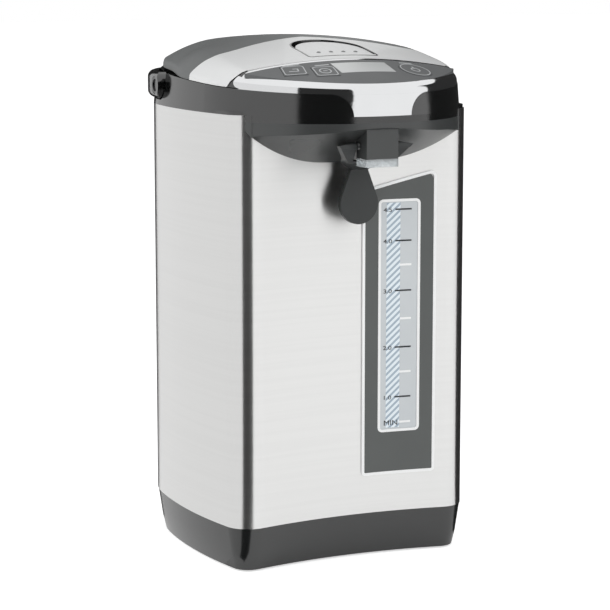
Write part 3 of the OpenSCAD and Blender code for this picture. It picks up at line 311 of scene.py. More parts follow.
finishes = {
    "dark_plastic": plain_finish("gloss dark plastic", (11, 12, 12), (15, 16, 16), (0.1, 0.15), ior=1.95),
    "chin_plastic": plain_finish("satin dark plastic", (56, 58, 58), (62, 64, 64), (0.26, 0.32), ior=1.6),
    "lid_plastic": plain_finish("matt dark plastic", (98, 100, 100), (104, 106, 106), (0.42, 0.52), ior=1.28),
    "base_plastic": plain_finish("base plastic", (18, 20, 20), (24, 26, 26), (0.16, 0.22), ior=1.78),
    "lever_plastic": plain_finish("lever plastic", (54, 56, 56), (60, 62, 62), (0.32, 0.42), ior=1.4),
    "steel_sheet": brushed_finish("brushed steel sheet", (228, 228, 227), (230, 230, 229), (0.282, 0.298),
                                  fineness=1800.0, bump=0.04, aniso=0.92),
    "polished_trim": plain_finish("polished trim", (226, 227, 228), (234, 235, 236), (0.05, 0.08),
                                  metallic=1.0, bump=0.01),
    "silver_plastic": plain_finish("satin silver paint", (214, 215, 215), (220, 221, 221), (0.36, 0.44),
                                   grain=4000.0, bump=0.05, metallic=0.12, coat=0.1),
    "panel_plastic": plain_finish("panel plastic", (84, 86, 87), (90, 92, 93), (0.4, 0.5)),
    "gauge_plastic": plain_finish("gauge plate plastic", (85, 88, 87), (91, 94, 93), (0.35, 0.45)),
    "clear_plastic": clear_finish("clear plastic", (232, 238, 240), (242, 246, 248), (0.03, 0.06), ior=1.49,
                                  clear=0.7),
    "window_plastic": plain_finish("gauge window", (198, 204, 208), (212, 216, 218), (0.14, 0.22), scale=15.0,
                                   bump=0.01),
    "display_glass": plain_finish("display", (192, 194, 194), (198, 200, 200), (0.15, 0.22), scale=25.0,
                                  bump=0.01),
    "soft_rubber": plain_finish("soft rubber", (30, 30, 30), (38, 38, 38), (0.6, 0.75), grain=1500.0,
                                bump=0.15),
    "bright_steel": plain_finish("bright steel", (180, 181, 182), (194, 195, 196), (0.2, 0.3), metallic=1.0,
                                 bump=0.03),
    "pale_plastic": plain_finish("pale plastic", (214, 212, 204), (224, 222, 214), (0.35, 0.45)),
    "board": plain_finish("circuit board", (24, 84, 58), (32, 96, 66), (0.35, 0.5), scale=120.0),
    "brass_pins": plain_finish("brass", (196, 168, 98), (206, 180, 112), (0.2, 0.3), metallic=1.0, bump=0.02),
    "print_white": plain_finish("white print", (248, 249, 249), (252, 253, 253), (0.35, 0.45), bump=0.02),
    "print_dark": plain_finish("dark print", (24, 28, 32), (32, 36, 40), (0.4, 0.5), bump=0.02),
    "print_grey": plain_finish("grey print", (176, 178, 179), (188, 190, 191), (0.4, 0.5), bump=0.02),
    "grip_grey": plain_finish("grip grey", (112, 114, 114), (122, 124, 124), (0.4, 0.5)),
    "hatch": hatch_finish("gauge hatch", (236, 245, 251), (166, 182, 196), pitch=4.75 * MM, slope=-0.9,
                          share=0.55),
}

slot_of = {row["node"]: row["material_slot"] for row in record["subparts"]}
node_finish = {
    **slot_of,
    "base_shell": "base_plastic", "base_plate": "base_plastic", "lever": "lever_plastic",
    "gauge_plate": "gauge_plastic", "apron": "chin_plastic", "spout_block": "chin_plastic",
    "lid_rear": "lid_plastic", "gauge_window": "window_plastic", "display": "display_glass",
}
body_of = {member: body for body, members in record["behaviour"]["bodies"].items() for member in members}
for name, node in nodes.items():
    node.data.materials.clear()
    node.data.materials.append(finishes[node_finish[name]])


# Making pieces
def mesh_from(name, bm):
    mesh = bpy.data.meshes.new(name)
    bm.to_mesh(mesh)
    bm.free()
    return mesh


def add_piece(name, bm, finish, body, replaced=()):
    """Turns a bmesh into a piece of the object that rides on a body."""
    mesh = mesh_from(name, bm)
    mesh.materials.append(finishes[finish])
    piece = bpy.data.objects.new(name, mesh)
    scene.collection.objects.link(piece)
    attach(piece, body)
    if replaced:
        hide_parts(*replaced)
    return piece


def shade_smooth(bm, sharp=32):
    """Smooth faces, with edges sharper than the given angle kept crisp."""
    for face in bm.faces:
        face.smooth = True
    limit = math.radians(sharp)
    for edge in bm.edges:
        edge.smooth = len(edge.link_faces) == 2 and edge.calc_face_angle() < limit


def everything(bm):
    return list(bm.verts) + list(bm.edges) + list(bm.faces)


def draw_out(bm, vec):
    """Draws flat faces out along a vector, into a closed block."""
    grown = bmesh.ops.extrude_face_region(bm, geom=list(bm.faces))["geom"]
    bmesh.ops.translate(bm, vec=vec, verts=[g for g in grown if isinstance(g, bmesh.types.BMVert)])
    bmesh.ops.recalc_face_normals(bm, faces=bm.faces)


def loose_ends(bm, axis):
    """The ends of open lines, in order along an axis."""
    ends = [vert for vert in bm.verts if len(vert.link_edges) == 1]
    return sorted(ends, key=lambda vert: vert.co[axis])


def close_line(bm, points):
    """Draws a line through the given points and fills the outline that it closes."""
    for pair in zip(points, points[1:]):
        bm.edges.new(pair)
    bmesh.ops.holes_fill(bm, edges=bm.edges)


def round_corners(bm, corners, radius, segments):
    bmesh.ops.bevel(bm, geom=corners, offset=radius, offset_type="OFFSET", segments=segments, profile=0.5,
                    affect="VERTICES", material=-1)


def rounded_face(points, height, segments):
    """A flat face on a few points, each with the radius of its rounded corner."""
    bm = bmesh.new()
    corners = [bm.verts.new((x, y, height)) for x, y, radius in points]
    bm.faces.new(corners)
    for corner, (x, y, radius) in zip(corners, points):
        if radius:
            round_corners(bm, [corner], radius, segments)
    return bm


def solid_copy(name):
    """A merged copy of a solid, with its flat faces joined."""
    bm = bmesh.new()
    bm.from_mesh(nodes[name].data)
    bmesh.ops.remove_doubles(bm, verts=bm.verts, dist=4e-6)
    bmesh.ops.dissolve_limit(bm, angle_limit=math.radians(0.05), use_dissolve_boundaries=False,
                             verts=bm.verts, edges=bm.edges, delimit={"NORMAL"})
    return bm


def join_drawings(drawings):
    """One drawing from several."""
    joined = bmesh.new()
    for bm in drawings:
        mesh = mesh_from("drawing", bm)
        joined.from_mesh(mesh)
        bpy.data.meshes.remove(mesh)
    return joined


def combine(first, second, operation):
    """Joins, cuts or intersects two closed shapes."""
    things = []
    for bm in (first, second):
        thing = bpy.data.objects.new("block", mesh_from("block", bm))
        scene.collection.objects.link(thing)
        things.append(thing)
    cut = things[0].modifiers.new("cut", "BOOLEAN")
    cut.operation = operation
    cut.solver = "EXACT"
    cut.object = things[1]
    bpy.context.view_layer.update()
    made = things[0].evaluated_get(bpy.context.evaluated_depsgraph_get()).to_mesh()
    result = bmesh.new()
    result.from_mesh(made)
    for thing in things:
        mesh = thing.data
        bpy.data.objects.remove(thing)
        bpy.data.meshes.remove(mesh)
    bmesh.ops.remove_doubles(result, verts=result.verts, dist=2e-5)
    bmesh.ops.recalc_face_normals(result, faces=result.faces)
    return result


def soften(name, width=0.0, angle=35):
    """Replaces a solid by a copy with smooth curved faces and, where a width is given, rounded edges."""
    bm = solid_copy(name)
    shade_smooth(bm, angle)
    piece = add_piece(name + "_shell", bm, node_finish[name], body_of[name], [name])
    if width:
        bevel = piece.modifiers.new("rounded edges", "BEVEL")
        bevel.width = width
        bevel.segments = 3
        bevel.limit_method = "ANGLE"
        bevel.angle_limit = math.radians(angle)
        bevel.use_clamp_overlap = True
        bevel.harden_normals = True
    return piece


place_camera()
for name in ("base_shell", "jacket", "collar", "control_panel", "display", "key_left", "key_middle",
             "key_right", "latch_flap", "handle_pins", "spout_tip", "gauge_plate", "gauge_window",
             "inlet_socket", "vessel", "lid_inner", "lid_seal"):
    soften(name)
soften("spout_block", 0.8 * MM, angle=50)
soften("lever", 0.7 * MM, angle=50)


# The domed head: lid cover, rear lid and front trim
RAY = math.atan2(END_OFFSET, SIDE_X)
REAR_CENTRE = Vector((0, REAR_Y, 0))
FRONT_CENTRE = Vector((0, FRONT_Y, 0))
LEFT_CENTRE = Vector((SIDE_X, MID_Y, 0))
RIGHT_CENTRE = Vector((-SIDE_X, MID_Y, 0))
HEAD_ARCS = [
    (REAR_CENTRE, END_RADIUS, RAY, math.pi - 2 * RAY, 56),
    (LEFT_CENTRE, SIDE_RADIUS, math.pi - RAY, 2 * RAY, 18),
    (FRONT_CENTRE, END_RADIUS, math.pi + RAY, math.pi - 2 * RAY, 56),
    (RIGHT_CENTRE, SIDE_RADIUS, -RAY, 2 * RAY, 18),
]
DECK_HEIGHT = 359 * MM
DECK_TILT = math.radians(3.15)
DECK_SLOPE = math.tan(DECK_TILT)
EDGE_SLOPE = 1.38
REAR_SLOPE = 0.67
PULL = 5.4 * MM
PULL_FROM, PULL_TO = -12 * MM, 34 * MM
REACH_LENGTH = 40 * MM
FAR = 0.16
BLOCK_LOW = 0.3
BLOCK_HEIGHT = 0.15
NEAR = 0.1 * MM
# These are in millimetres, and each line is an inset and a height
REAR_LIFT = 1.5
REACH_FRONT = 3
REACH_GROWTH = 9
WEB_INSET = 0.7
SKIRT_LINES = [(2.1, 0.4), (2.2, 1.8), (2.35, 3.2), (2.6, 4.3), (3.0, 5.2), (3.6, 6.1)]
TRIM_LINES = [(1.8, 0.0), (1.95, 1.8), (2.15, 3.3), (2.5, 4.5), (3.0, 5.4), (3.6, 6.2)]
DOME_LINES = [4.4, 5.2, 6, 7, 8, 9.2, 10.6, 12, 14, 16, 18.5, 21.5, 25, 30, 36, 44, 54, 66, 80, 92, 101.2]


def deck_at(y):
    """Height of the collar's upper edge."""
    return DECK_HEIGHT + (y - MID_Y) * DECK_SLOPE


def smooth_step(value, low, high):
    t = min(max((value - low) / (high - low), 0.0), 1.0)
    return t * t * (3 - 2 * t)


def soft_lower(a, b, reach):
    """The lower of two heights, with a rounded change between them."""
    t = min(max(0.5 + 0.5 * (b - a) / reach, 0.0), 1.0)
    return b * (1 - t) + a * t - reach * t * (1 - t)


def outline_out(point):
    """Outward direction of the head's outline at a point on it."""
    if point.y - REAR_Y > abs(point.x) * math.tan(RAY):
        centre = REAR_CENTRE
    elif FRONT_Y - point.y > abs(point.x) * math.tan(RAY):
        centre = FRONT_CENTRE
    elif point.x < 0:
        centre = LEFT_CENTRE
    else:
        centre = RIGHT_CENTRE
    return (point - centre).normalized()


def cover_reach(y):
    """How widely the head's edge is rounded into its dome."""
    return (REACH_FRONT + REACH_GROWTH * smooth_step(y, SLOT_Y, SLOT_Y + REACH_LENGTH)) * MM


def no_pull(y):
    return 0.0


def rear_pull(y):
    """Rises from 0 to 1 where the lid's rear part draws back from the head's outline."""
    return smooth_step(y, PULL_FROM, PULL_TO)


def head_outline(inset, height):
    """The head's outline as a closed line of four arcs."""
    bm = bmesh.new()
    for centre, radius, start, sweep, steps in HEAD_ARCS:
        ahead = Vector((math.cos(start), math.sin(start), 0))
        first = bm.verts.new(centre + (radius - inset) * ahead + Vector((0, 0, height)))
        bmesh.ops.spin(bm, geom=[first], cent=centre, axis=(0, 0, 1), angle=sweep, steps=steps)
    bmesh.ops.remove_doubles(bm, verts=bm.verts, dist=1e-5)
    return bm


def loft_head(lines, pull):
    """A closed domed block: the head's outline drawn up and inwards, line by line."""
    bm = head_outline(0, 0)
    base = bm.verts.layers.float_vector.new("base")
    out = bm.verts.layers.float_vector.new("out")
    for vert in bm.verts:
        vert[base] = vert.co
        vert[out] = outline_out(vert.co)
    loop = list(bm.edges)
    ring = list(bm.verts)
    last_inset, last_height = lines[-1]
    flat = [(inset, last_height) for inset in DOME_LINES]
    for step, (inset, height) in enumerate(lines + flat):
        if step:
            grown = bmesh.ops.extrude_edge_only(bm, edges=loop)["geom"]
            ring = [g for g in grown if isinstance(g, bmesh.types.BMVert)]
            members = set(ring)
            loop = [g for g in grown if isinstance(g, bmesh.types.BMEdge) and members.issuperset(g.verts)]
        for vert in ring:
            back = pull(vert[base].y)
            place = vert[base] - vert[out] * (inset * MM + PULL * back * (1 - inset * MM / END_RADIUS))
            slope = EDGE_SLOPE + (REAR_SLOPE - EDGE_SLOPE) * back
            rise = (height + REAR_LIFT * back) * MM + max(inset - last_inset, 0) * MM * slope
            place.z = soft_lower(deck_at(place.y) + rise, dome_at(place.x, place.y), cover_reach(place.y))
            vert.co = place
    spine = [edge for edge in loop if all(FRONT_Y < vert.co.y < REAR_Y for vert in edge.verts)]
    bmesh.ops.bridge_loops(bm, edges=spine)
    bmesh.ops.holes_fill(bm, edges=[edge for edge in bm.edges if edge.is_boundary])
    bmesh.ops.recalc_face_normals(bm, faces=bm.faces)
    return bm


def plan_block(points):
    """An upright block on a plan outline of a few points, each with the radius of its rounded corner."""
    bm = rounded_face(points, BLOCK_LOW, segments=10)
    draw_out(bm, (0, 0, BLOCK_HEIGHT))
    return bm


LATCH_HALF = 27.5 * MM
LATCH_Y = SLOT_Y + 8.4 * MM
LATCH_ARC_Y = LATCH_Y + 26.6 * MM
LATCH_FLOOR = 366 * MM
LATCH_DEPTH = 60 * MM


def latch_face(grow, height):
    """The D shape of the latch as a flat face, and its two front corners."""
    half = LATCH_HALF + grow
    front = LATCH_Y - grow
    bm = bmesh.new()
    start = bm.verts.new((half, LATCH_ARC_Y, height))
    bmesh.ops.spin(bm, geom=[start], cent=(0, LATCH_ARC_Y, height), axis=(0, 0, 1), angle=math.pi, steps=40)
    left_end, right_end = loose_ends(bm, 0)
    corners = [bm.verts.new((-half, front, height)), bm.verts.new((half, front, height))]
    close_line(bm, [left_end, *corners, right_end])
    return bm, corners


def latch_cutter():
    """The recess of the latch, open above."""
    bm = latch_face(0, LATCH_FLOOR)[0]
    draw_out(bm, (0, 0, LATCH_DEPTH))
    return bm


LENS_INSET = 1.5 * MM
LENS_NOSE = 7.5 * MM
LENS_EDGE = 2.6 * MM
LENS_GAP = 0.1 * MM


def lens_cutter():
    """The panel's lens shape as an upright block, a little larger than the panel."""
    centre_y = NOSE_Y + LENS_NOSE + END_RADIUS - LENS_INSET
    radius = END_RADIUS - LENS_INSET + LENS_GAP
    edge_y = TRIM_Y - LENS_EDGE + LENS_GAP
    reach = math.asin((edge_y - centre_y) / radius)
    bm = bmesh.new()
    start = bm.verts.new((radius * math.cos(reach), edge_y, BLOCK_LOW))
    bmesh.ops.spin(bm, geom=[start], cent=(0, centre_y, BLOCK_LOW), axis=(0, 0, -1),
                   angle=math.pi + 2 * reach, steps=72)
    close_line(bm, loose_ends(bm, 0))
    draw_out(bm, (0, 0, BLOCK_HEIGHT))
    return bm


# The ends of the slot between the lid and the front trim
SLOT_SWEEP = 1.7 * MM
END_X = 90 * MM
END_DEPTH = 40 * MM
SLOT_TOP = 366.5 * MM
SLOT_LOW = 355.3 * MM
LID_END_LOW = SLOT_Y + 8.5 * MM
LID_END_FOOT = [(-1.2 * MM, 2 * MM), (-0.3 * MM, 0.8 * MM), (1.4 * MM, -0.2 * MM)]
SLOT_AHEAD = SLOT_Y - 7 * MM
SLOT_CUT = SLOT_LOW - 4 * MM
FACING_AHEAD = -0.6
WEB_INNER = 80 * MM
WEB_GAP = 0.3 * MM
WEB_LOW = SLOT_LOW - 1 * MM
NOSE_INNER = 85.5 * MM
NOSE_OUTER = NOSE_INNER + 1.5 * MM
NOSE_TIP = SLOT_Y + 3 * MM
NOSE_RADIUS = 5.3 * MM
NOSE_Z = 360.5 * MM
NOSE_BEHIND = NOSE_TIP + 6 * MM
NOSE_TOP = SLOT_TOP + 2 * MM
SEAM_PEAK = 3 * MM
SEAM_GAP = 0.3 * MM
SEAM_CORNERS = [(FAR, -20.5 * MM, 0), (101 * MM, -20.5 * MM, 0), (86 * MM, -30 * MM, 3 * MM),
                (68 * MM, -27 * MM, 6 * MM)]


def slot_at(x):
    """The lid's front edge in plan: straight in the middle and swept back a little at its ends."""
    return SLOT_Y + SLOT_SWEEP * (min(abs(x), END_X) / END_X) ** 4


def slot_line():
    """The lid's front edge as a line of points, from left to right."""
    inner = [(x * MM, slot_at(x * MM), 0) for x in range(-96, 97, 8)]
    return [(-FAR, slot_at(FAR), 0)] + inner + [(FAR, slot_at(FAR), 0)]


def seam_line(gap):
    """The seam between the silver cover and the rear lid in plan, from right to left, moved back by a gap."""
    right = [(x, y + gap, radius) for x, y, radius in SEAM_CORNERS]
    left = [(-x, y, radius) for x, y, radius in reversed(right)]
    return right + [(0, SEAM_PEAK + gap, 0)] + left


def end_blocks(bm):
    """Draws a face out sideways and mirrors it, for the two ends of the slot."""
    draw_out(bm, (END_DEPTH, 0, 0))
    bmesh.ops.mirror(bm, geom=everything(bm), axis="X", merge_dist=0)
    bmesh.ops.recalc_face_normals(bm, faces=bm.faces)
    return bm


def lid_end_cutter(inner, gap, low):
    """The slanting ends of the slot ahead of the lid."""
    foot = [(LID_END_LOW - gap + y, SLOT_LOW + z) for y, z in LID_END_FOOT]
    profile = [(slot_at(END_X) - gap, SLOT_TOP), *foot, (foot[-1][0], low), (SLOT_AHEAD, low),
               (SLOT_AHEAD, SLOT_TOP)]
    bm = bmesh.new()
    bm.faces.new([bm.verts.new((inner, y, z)) for y, z in profile])
    return end_blocks(bm)


def nose_cutter():
    """What is cut from behind the trim's ends to leave a rounded nose."""
    centre_y = NOSE_TIP - NOSE_RADIUS
    bm = bmesh.new()
    start = bm.verts.new((NOSE_INNER, centre_y, NOSE_Z + NOSE_RADIUS))
    bmesh.ops.spin(bm, geom=[start], cent=(NOSE_INNER, centre_y, NOSE_Z), axis=(1, 0, 0), angle=-math.pi,
                   steps=20)
    low_end, high_end = loose_ends(bm, 2)
    around = ((centre_y, SLOT_CUT), (NOSE_BEHIND, SLOT_CUT), (NOSE_BEHIND, NOSE_TOP), (centre_y, NOSE_TOP))
    corners = [bm.verts.new((NOSE_INNER, y, z)) for y, z in around]
    close_line(bm, [low_end, *corners, high_end])
    return end_blocks(bm)


def add_slot_web():
    """The collar's web that shows between the lid and the trim."""
    lines = [(inset + WEB_INSET, height) for inset, height in SKIRT_LINES]
    cutter = lid_end_cutter(WEB_INNER + WEB_GAP, WEB_GAP, WEB_LOW)
    web = combine(loft_head(lines, no_pull), cutter, "INTERSECT")
    shade_smooth(web)
    add_piece("slot_web", web, "dark_plastic", "pot")


def add_lid_cover():
    """The silver cover, with painted shade: its faces inside the latch's recess and at the ends of the slot
    take the dark plastic as a painted shadow.
    """
    cover = combine(loft_head(SKIRT_LINES, no_pull), plan_block(slot_line() + seam_line(0.0)), "INTERSECT")
    cover = combine(cover, lid_end_cutter(WEB_INNER, 0.0, SLOT_CUT), "DIFFERENCE")
    cover = combine(cover, latch_cutter(), "DIFFERENCE")
    shade_smooth(cover)
    for face in cover.faces:
        middle = face.calc_center_median()
        sunk = dome_at(middle.x, middle.y) - middle.z > 2 * NEAR and middle.z > LATCH_FLOOR - NEAR
        in_latch = abs(middle.x) < LATCH_HALF + NEAR and middle.y > LATCH_Y - NEAR
        in_slot = abs(middle.x) > WEB_INNER - NEAR and middle.y < LID_END_LOW
        # Painted shade: the recess faces and the slot-end faces get the dark plastic for the shadow that
        # falls in them
        if (in_slot and face.normal.y < FACING_AHEAD) or (in_latch and sunk):
            face.material_index = 1
    piece = add_piece("lid_cover_shell", cover, "silver_plastic", "lid", ["lid_cover"])
    piece.data.materials.append(finishes["dark_plastic"])


def add_lid_rear():
    front = list(reversed(seam_line(SEAM_GAP)))
    plan = plan_block(front + [(FAR, FAR, 0), (-FAR, FAR, 0)])
    rear = combine(loft_head(SKIRT_LINES, rear_pull), plan, "INTERSECT")
    shade_smooth(rear)
    add_piece("lid_rear_shell", rear, "lid_plastic", "lid", ["lid_rear"])


def add_front_trim():
    """The polished band round the panel, with the tongue of the solid below it."""
    plan = plan_block([
        (-FAR, -FAR, 0), (FAR, -FAR, 0), (FAR, NOSE_TIP, 0), (NOSE_OUTER, NOSE_TIP, 0),
        (NOSE_INNER, TRIM_Y, 0), (-NOSE_INNER, TRIM_Y, 0), (-NOSE_OUTER, NOSE_TIP, 0), (-FAR, NOSE_TIP, 0)])
    band = combine(loft_head(TRIM_LINES, no_pull), plan, "INTERSECT")
    band = combine(band, nose_cutter(), "DIFFERENCE")
    band = combine(band, lens_cutter(), "DIFFERENCE")
    tongue = solid_copy("front_trim")
    up = Vector((0, -math.sin(DECK_TILT), math.cos(DECK_TILT)))
    bmesh.ops.bisect_plane(tongue, geom=everything(tongue), plane_co=(0, MID_Y, DECK_HEIGHT + NEAR),
                           plane_no=up, clear_outer=True)
    trim = join_drawings([band, tongue])
    shade_smooth(trim)
    add_piece("front_trim_shell", trim, "polished_trim", "pot", ["front_trim"])


# The apron under the head: a gloss lip painted dark as a painted reflection, a wall that wraps the corners of
# the body and a sloping underside
JACKET_TOP = 336.3 * MM
APRON_LOW = 299.4 * MM
APRON_BLOCK_LOW = APRON_LOW - 9 * MM
APRON_RISE = math.radians(28)
APRON_FLAT = 24 * MM
APRON_RADIUS = 129 * MM
APRON_SWEEP = math.radians(60)
APRON_INSET = 0.3 * MM
APRON_GAP = 0.1 * MM
APRON_LIP = 5 * MM
UNDERSIDE_FRONT = -120 * MM
UNDERSIDE_LENGTH = 180 * MM
CHEEK_REAR = -78.2 * MM
CHEEK_FRONT = -94 * MM
CHEEK_DEEP = 15.8 * MM
CHEEK_THICK = 3 * MM
CHEEK_PROUD = 0.5 * MM
OVERCUT = 1 * MM


def outline_block(inset, low, high):
    """An upright block on the head's outline."""
    bm = head_outline(inset, low)
    bmesh.ops.holes_fill(bm, edges=bm.edges)
    draw_out(bm, (0, 0, high - low))
    return bm


def front_block(off, low, high):
    """All that lies ahead of the body's hollow front."""
    bm = bmesh.new()
    made = bmesh.ops.create_circle(bm, cap_ends=True, radius=FRONT_RADIUS - off, segments=360)["verts"]
    bmesh.ops.translate(bm, vec=(0, HOLLOW_Y, low), verts=made)
    draw_out(bm, (0, 0, high - low))
    return bm


def underside_block():
    """All that lies above the apron's underside, flat in the middle and curved up at the sides."""
    bm = bmesh.new()
    start = bm.verts.new((APRON_FLAT, 0, 0))
    bmesh.ops.spin(bm, geom=[start], cent=(APRON_FLAT, 0, APRON_RADIUS), axis=(0, 1, 0), angle=-APRON_SWEEP,
                   steps=40)
    bmesh.ops.mirror(bm, geom=everything(bm), axis="X", merge_dist=0)
    ends = sorted(loose_ends(bm, 0), key=lambda vert: vert.co.z)
    for pair in (ends[:2], ends[2:]):
        bm.edges.new(pair)
    bmesh.ops.holes_fill(bm, edges=bm.edges)
    bmesh.ops.translate(bm, vec=(0, UNDERSIDE_FRONT, 0), verts=bm.verts)
    draw_out(bm, (0, UNDERSIDE_LENGTH, 0))
    bmesh.ops.rotate(bm, cent=(0, 0, 0), matrix=Matrix.Rotation(-APRON_RISE, 3, "X"), verts=bm.verts)
    bmesh.ops.translate(bm, vec=(0, FACE_Y, APRON_LOW), verts=bm.verts)
    return bm


def cheek_blocks():
    """The slanting ends of the wall, behind the front corners of the body."""
    bm = bmesh.new()
    profile = ((CHEEK_REAR, JACKET_TOP), (CHEEK_FRONT, JACKET_TOP - CHEEK_DEEP), (CHEEK_FRONT, JACKET_TOP))
    bm.faces.new([bm.verts.new((WEB_INNER, y, z)) for y, z in profile])
    return end_blocks(bm)


def add_apron():
    low = APRON_BLOCK_LOW
    chin = combine(outline_block(APRON_INSET, low, JACKET_TOP), underside_block(), "INTERSECT")
    chin = combine(chin, front_block(APRON_GAP, low - OVERCUT, JACKET_TOP + OVERCUT), "INTERSECT")
    cheeks = combine(outline_block(-CHEEK_PROUD, low, JACKET_TOP), cheek_blocks(), "INTERSECT")
    cheeks = combine(cheeks, outline_block(CHEEK_THICK, low - OVERCUT, JACKET_TOP + OVERCUT), "DIFFERENCE")
    apron = join_drawings([chin, cheeks])
    # Painted reflection: the top band takes the dark gloss plastic, whose dark colour stands in for the dark
    # surroundings mirrored in it; its gloss is real
    lip = JACKET_TOP - APRON_LIP
    bmesh.ops.bisect_plane(apron, geom=everything(apron), plane_co=(0, 0, lip), plane_no=(0, 0, 1))
    for face in apron.faces:
        if face.calc_center_median().z > lip:
            face.material_index = 1
    shade_smooth(apron)
    piece = add_piece("apron_shell", apron, "chin_plastic", "pot", ["apron"])
    piece.data.materials.append(finishes["dark_plastic"])


# The carry handle, rounded along its outer edges
HANDLE_OUT = 4.4 * MM
HANDLE_LOW = 341.3 * MM
HANDLE_HEIGHT = 20.2 * MM
HANDLE_ROUND = 5 * MM
HANDLE_DEPTH = 20 * MM
HANDLE_START = math.radians(2)


def handle_form():
    """A strap round the rear of the head, with rounded outer edges and longer than the handle."""
    outer = SIDE_RADIUS + HANDLE_OUT
    inner = outer - HANDLE_DEPTH
    high = HANDLE_LOW + HANDLE_HEIGHT
    ahead = Vector((math.cos(HANDLE_START), math.sin(HANDLE_START), 0))
    bm = bmesh.new()
    corners = [bm.verts.new(RIGHT_CENTRE + radius * ahead + Vector((0, 0, z)))
               for radius, z in ((inner, HANDLE_LOW), (outer, HANDLE_LOW), (outer, high), (inner, high))]
    bm.faces.new(corners)
    round_corners(bm, corners[1:3], HANDLE_ROUND, segments=8)
    last = everything(bm)
    for centre, angle, steps in ((RIGHT_CENTRE, RAY - HANDLE_START, 6), (REAR_CENTRE, math.pi - 2 * RAY, 90),
                                 (LEFT_CENTRE, RAY - HANDLE_START, 6)):
        made = bmesh.ops.spin(bm, geom=last, cent=centre, axis=(0, 0, 1), angle=angle, steps=steps)
        last = made["geom_last"]
    bmesh.ops.recalc_face_normals(bm, faces=bm.faces)
    return bm


def add_carry_handle():
    handle = combine(solid_copy("carry_handle"), handle_form(), "INTERSECT")
    shade_smooth(handle)
    add_piece("carry_handle_shell", handle, "dark_plastic", "bail", ["carry_handle"])


# The latch spring, softened and given its own copy of the mesh
def add_latch_spring():
    spring = soften("latch_spring")
    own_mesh(spring)


add_lid_cover()
add_lid_rear()
add_front_trim()
add_apron()
add_slot_web()
add_carry_handle()
add_latch_spring()


# Flat drawings, made in x and y and then laid on the hollow front or on the dome
INK = 0.1 * MM
LONG_EDGE = 6 * MM


def add_bar(bm, left, right, low, high):
    """A level bar, cut across so that it can follow the curve that it is laid on."""
    made = bmesh.ops.create_grid(bm, x_segments=8, y_segments=1, size=0.5)["verts"]
    bmesh.ops.scale(bm, vec=(right - left, high - low, 1), verts=made)
    bmesh.ops.translate(bm, vec=((left + right) / 2, (low + high) / 2, 0), verts=made)


def cut_inside(bm, face, width):
    """Leaves of a flat face only a line of even width along its edge."""
    bmesh.ops.inset_region(bm, faces=[face], thickness=width, use_boundary=True, use_even_offset=True)
    bmesh.ops.delete(bm, geom=[face], context="FACES")


def add_ring(bm, y, radius, width):
    """A flat ring."""
    rim = bmesh.ops.create_circle(bm, cap_ends=True, radius=radius, segments=40)["verts"]
    bmesh.ops.translate(bm, vec=(0, y, 0), verts=rim)
    cut_inside(bm, rim[0].link_faces[0], width)


def keep_outline(bm, width):
    """Leaves of a drawing's one face a line along its edge, cut across so that it can follow a curve."""
    bm.faces.ensure_lookup_table()
    cut_inside(bm, bm.faces[0], width)
    longest = [edge for edge in bm.edges if edge.calc_length() > LONG_EDGE]
    bmesh.ops.subdivide_edges(bm, edges=longest, cuts=9, use_grid_fill=True)


def outline_drawing(points, width):
    """A flat line of even width along the inside of an outline whose points carry their corner radius."""
    bm = rounded_face(points, 0, segments=6)
    keep_outline(bm, width)
    return bm


def box_outline(left, right, low, high, radius):
    return [(left, low, radius), (right, low, radius), (right, high, radius), (left, high, radius)]


def text_drawing(words, size, stretch, x, y):
    """Plain lettering as a flat drawing centred on a point."""
    curve = bpy.data.curves.new("lettering", "FONT")
    curve.body = words
    curve.size = size
    curve.align_x = "CENTER"
    curve.align_y = "CENTER"
    thing = bpy.data.objects.new("lettering", curve)
    scene.collection.objects.link(thing)
    bpy.context.view_layer.update()
    bm = bmesh.new()
    bm.from_mesh(thing.evaluated_get(bpy.context.evaluated_depsgraph_get()).to_mesh())
    bpy.data.objects.remove(thing)
    bpy.data.curves.remove(curve)
    bmesh.ops.remove_doubles(bm, verts=bm.verts, dist=1e-6)
    bmesh.ops.scale(bm, vec=(stretch, 1, 1), verts=bm.verts)
    bmesh.ops.translate(bm, vec=(x, y, 0), verts=bm.verts)
    return bm


def add_front_print(name, bm, thick, off, finish):
    """Lays a flat drawing on the body's hollow front."""
    draw_out(bm, (0, 0, thick))
    for vert in bm.verts:
        x, y, z = vert.co
        vert.co = (x, front_at(x, off + z), y)
    add_piece(name, bm, finish, "pot")


def add_dome_print(name, bm, off, body, finish):
    """Lays a flat drawing on the lid's dome."""
    draw_out(bm, (0, 0, INK))
    for vert in bm.verts:
        x, y, z = vert.co
        vert.co.z = dome_at(x, y) + off + z
    add_piece(name, bm, finish, body)


# The level gauge
PLATE_PROUD = 1.2 * MM
WINDOW_PROUD = 1.0 * MM
GAUGE_LEFT, GAUGE_RIGHT, GAUGE_LOW = 11.4 * MM, 65.4 * MM, 65 * MM
GAUGE_HIGH_LEFT, GAUGE_HIGH_RIGHT = 276.5 * MM, 289.5 * MM
WINDOW = (23.8 * MM, 53.4 * MM, 97 * MM, 269 * MM)
BORDER = 2.1 * MM
BORDER_LAP = 0.05 * MM
BORDER_ROUND, BORDER_TOP_ROUND = 3 * MM, 6 * MM
RIM = 1.7 * MM
RIM_LAP = 0.3 * MM
RIM_ROUND = 3.6 * MM
HATCH_LEFT, HATCH_RIGHT = 28.7 * MM, 39.5 * MM
HATCH_LOW_GAP, HATCH_HIGH_GAP = 1.5 * MM, 1 * MM
TICK_LEFT, TICK_RIGHT = 35.5 * MM, 48.3 * MM
LITRE_MARKS = {"4.5": 263.0 * MM, "4.0": 239.6 * MM, "3.0": 202.2 * MM, "2.0": 159.5 * MM, "1.0": 121.7 * MM}
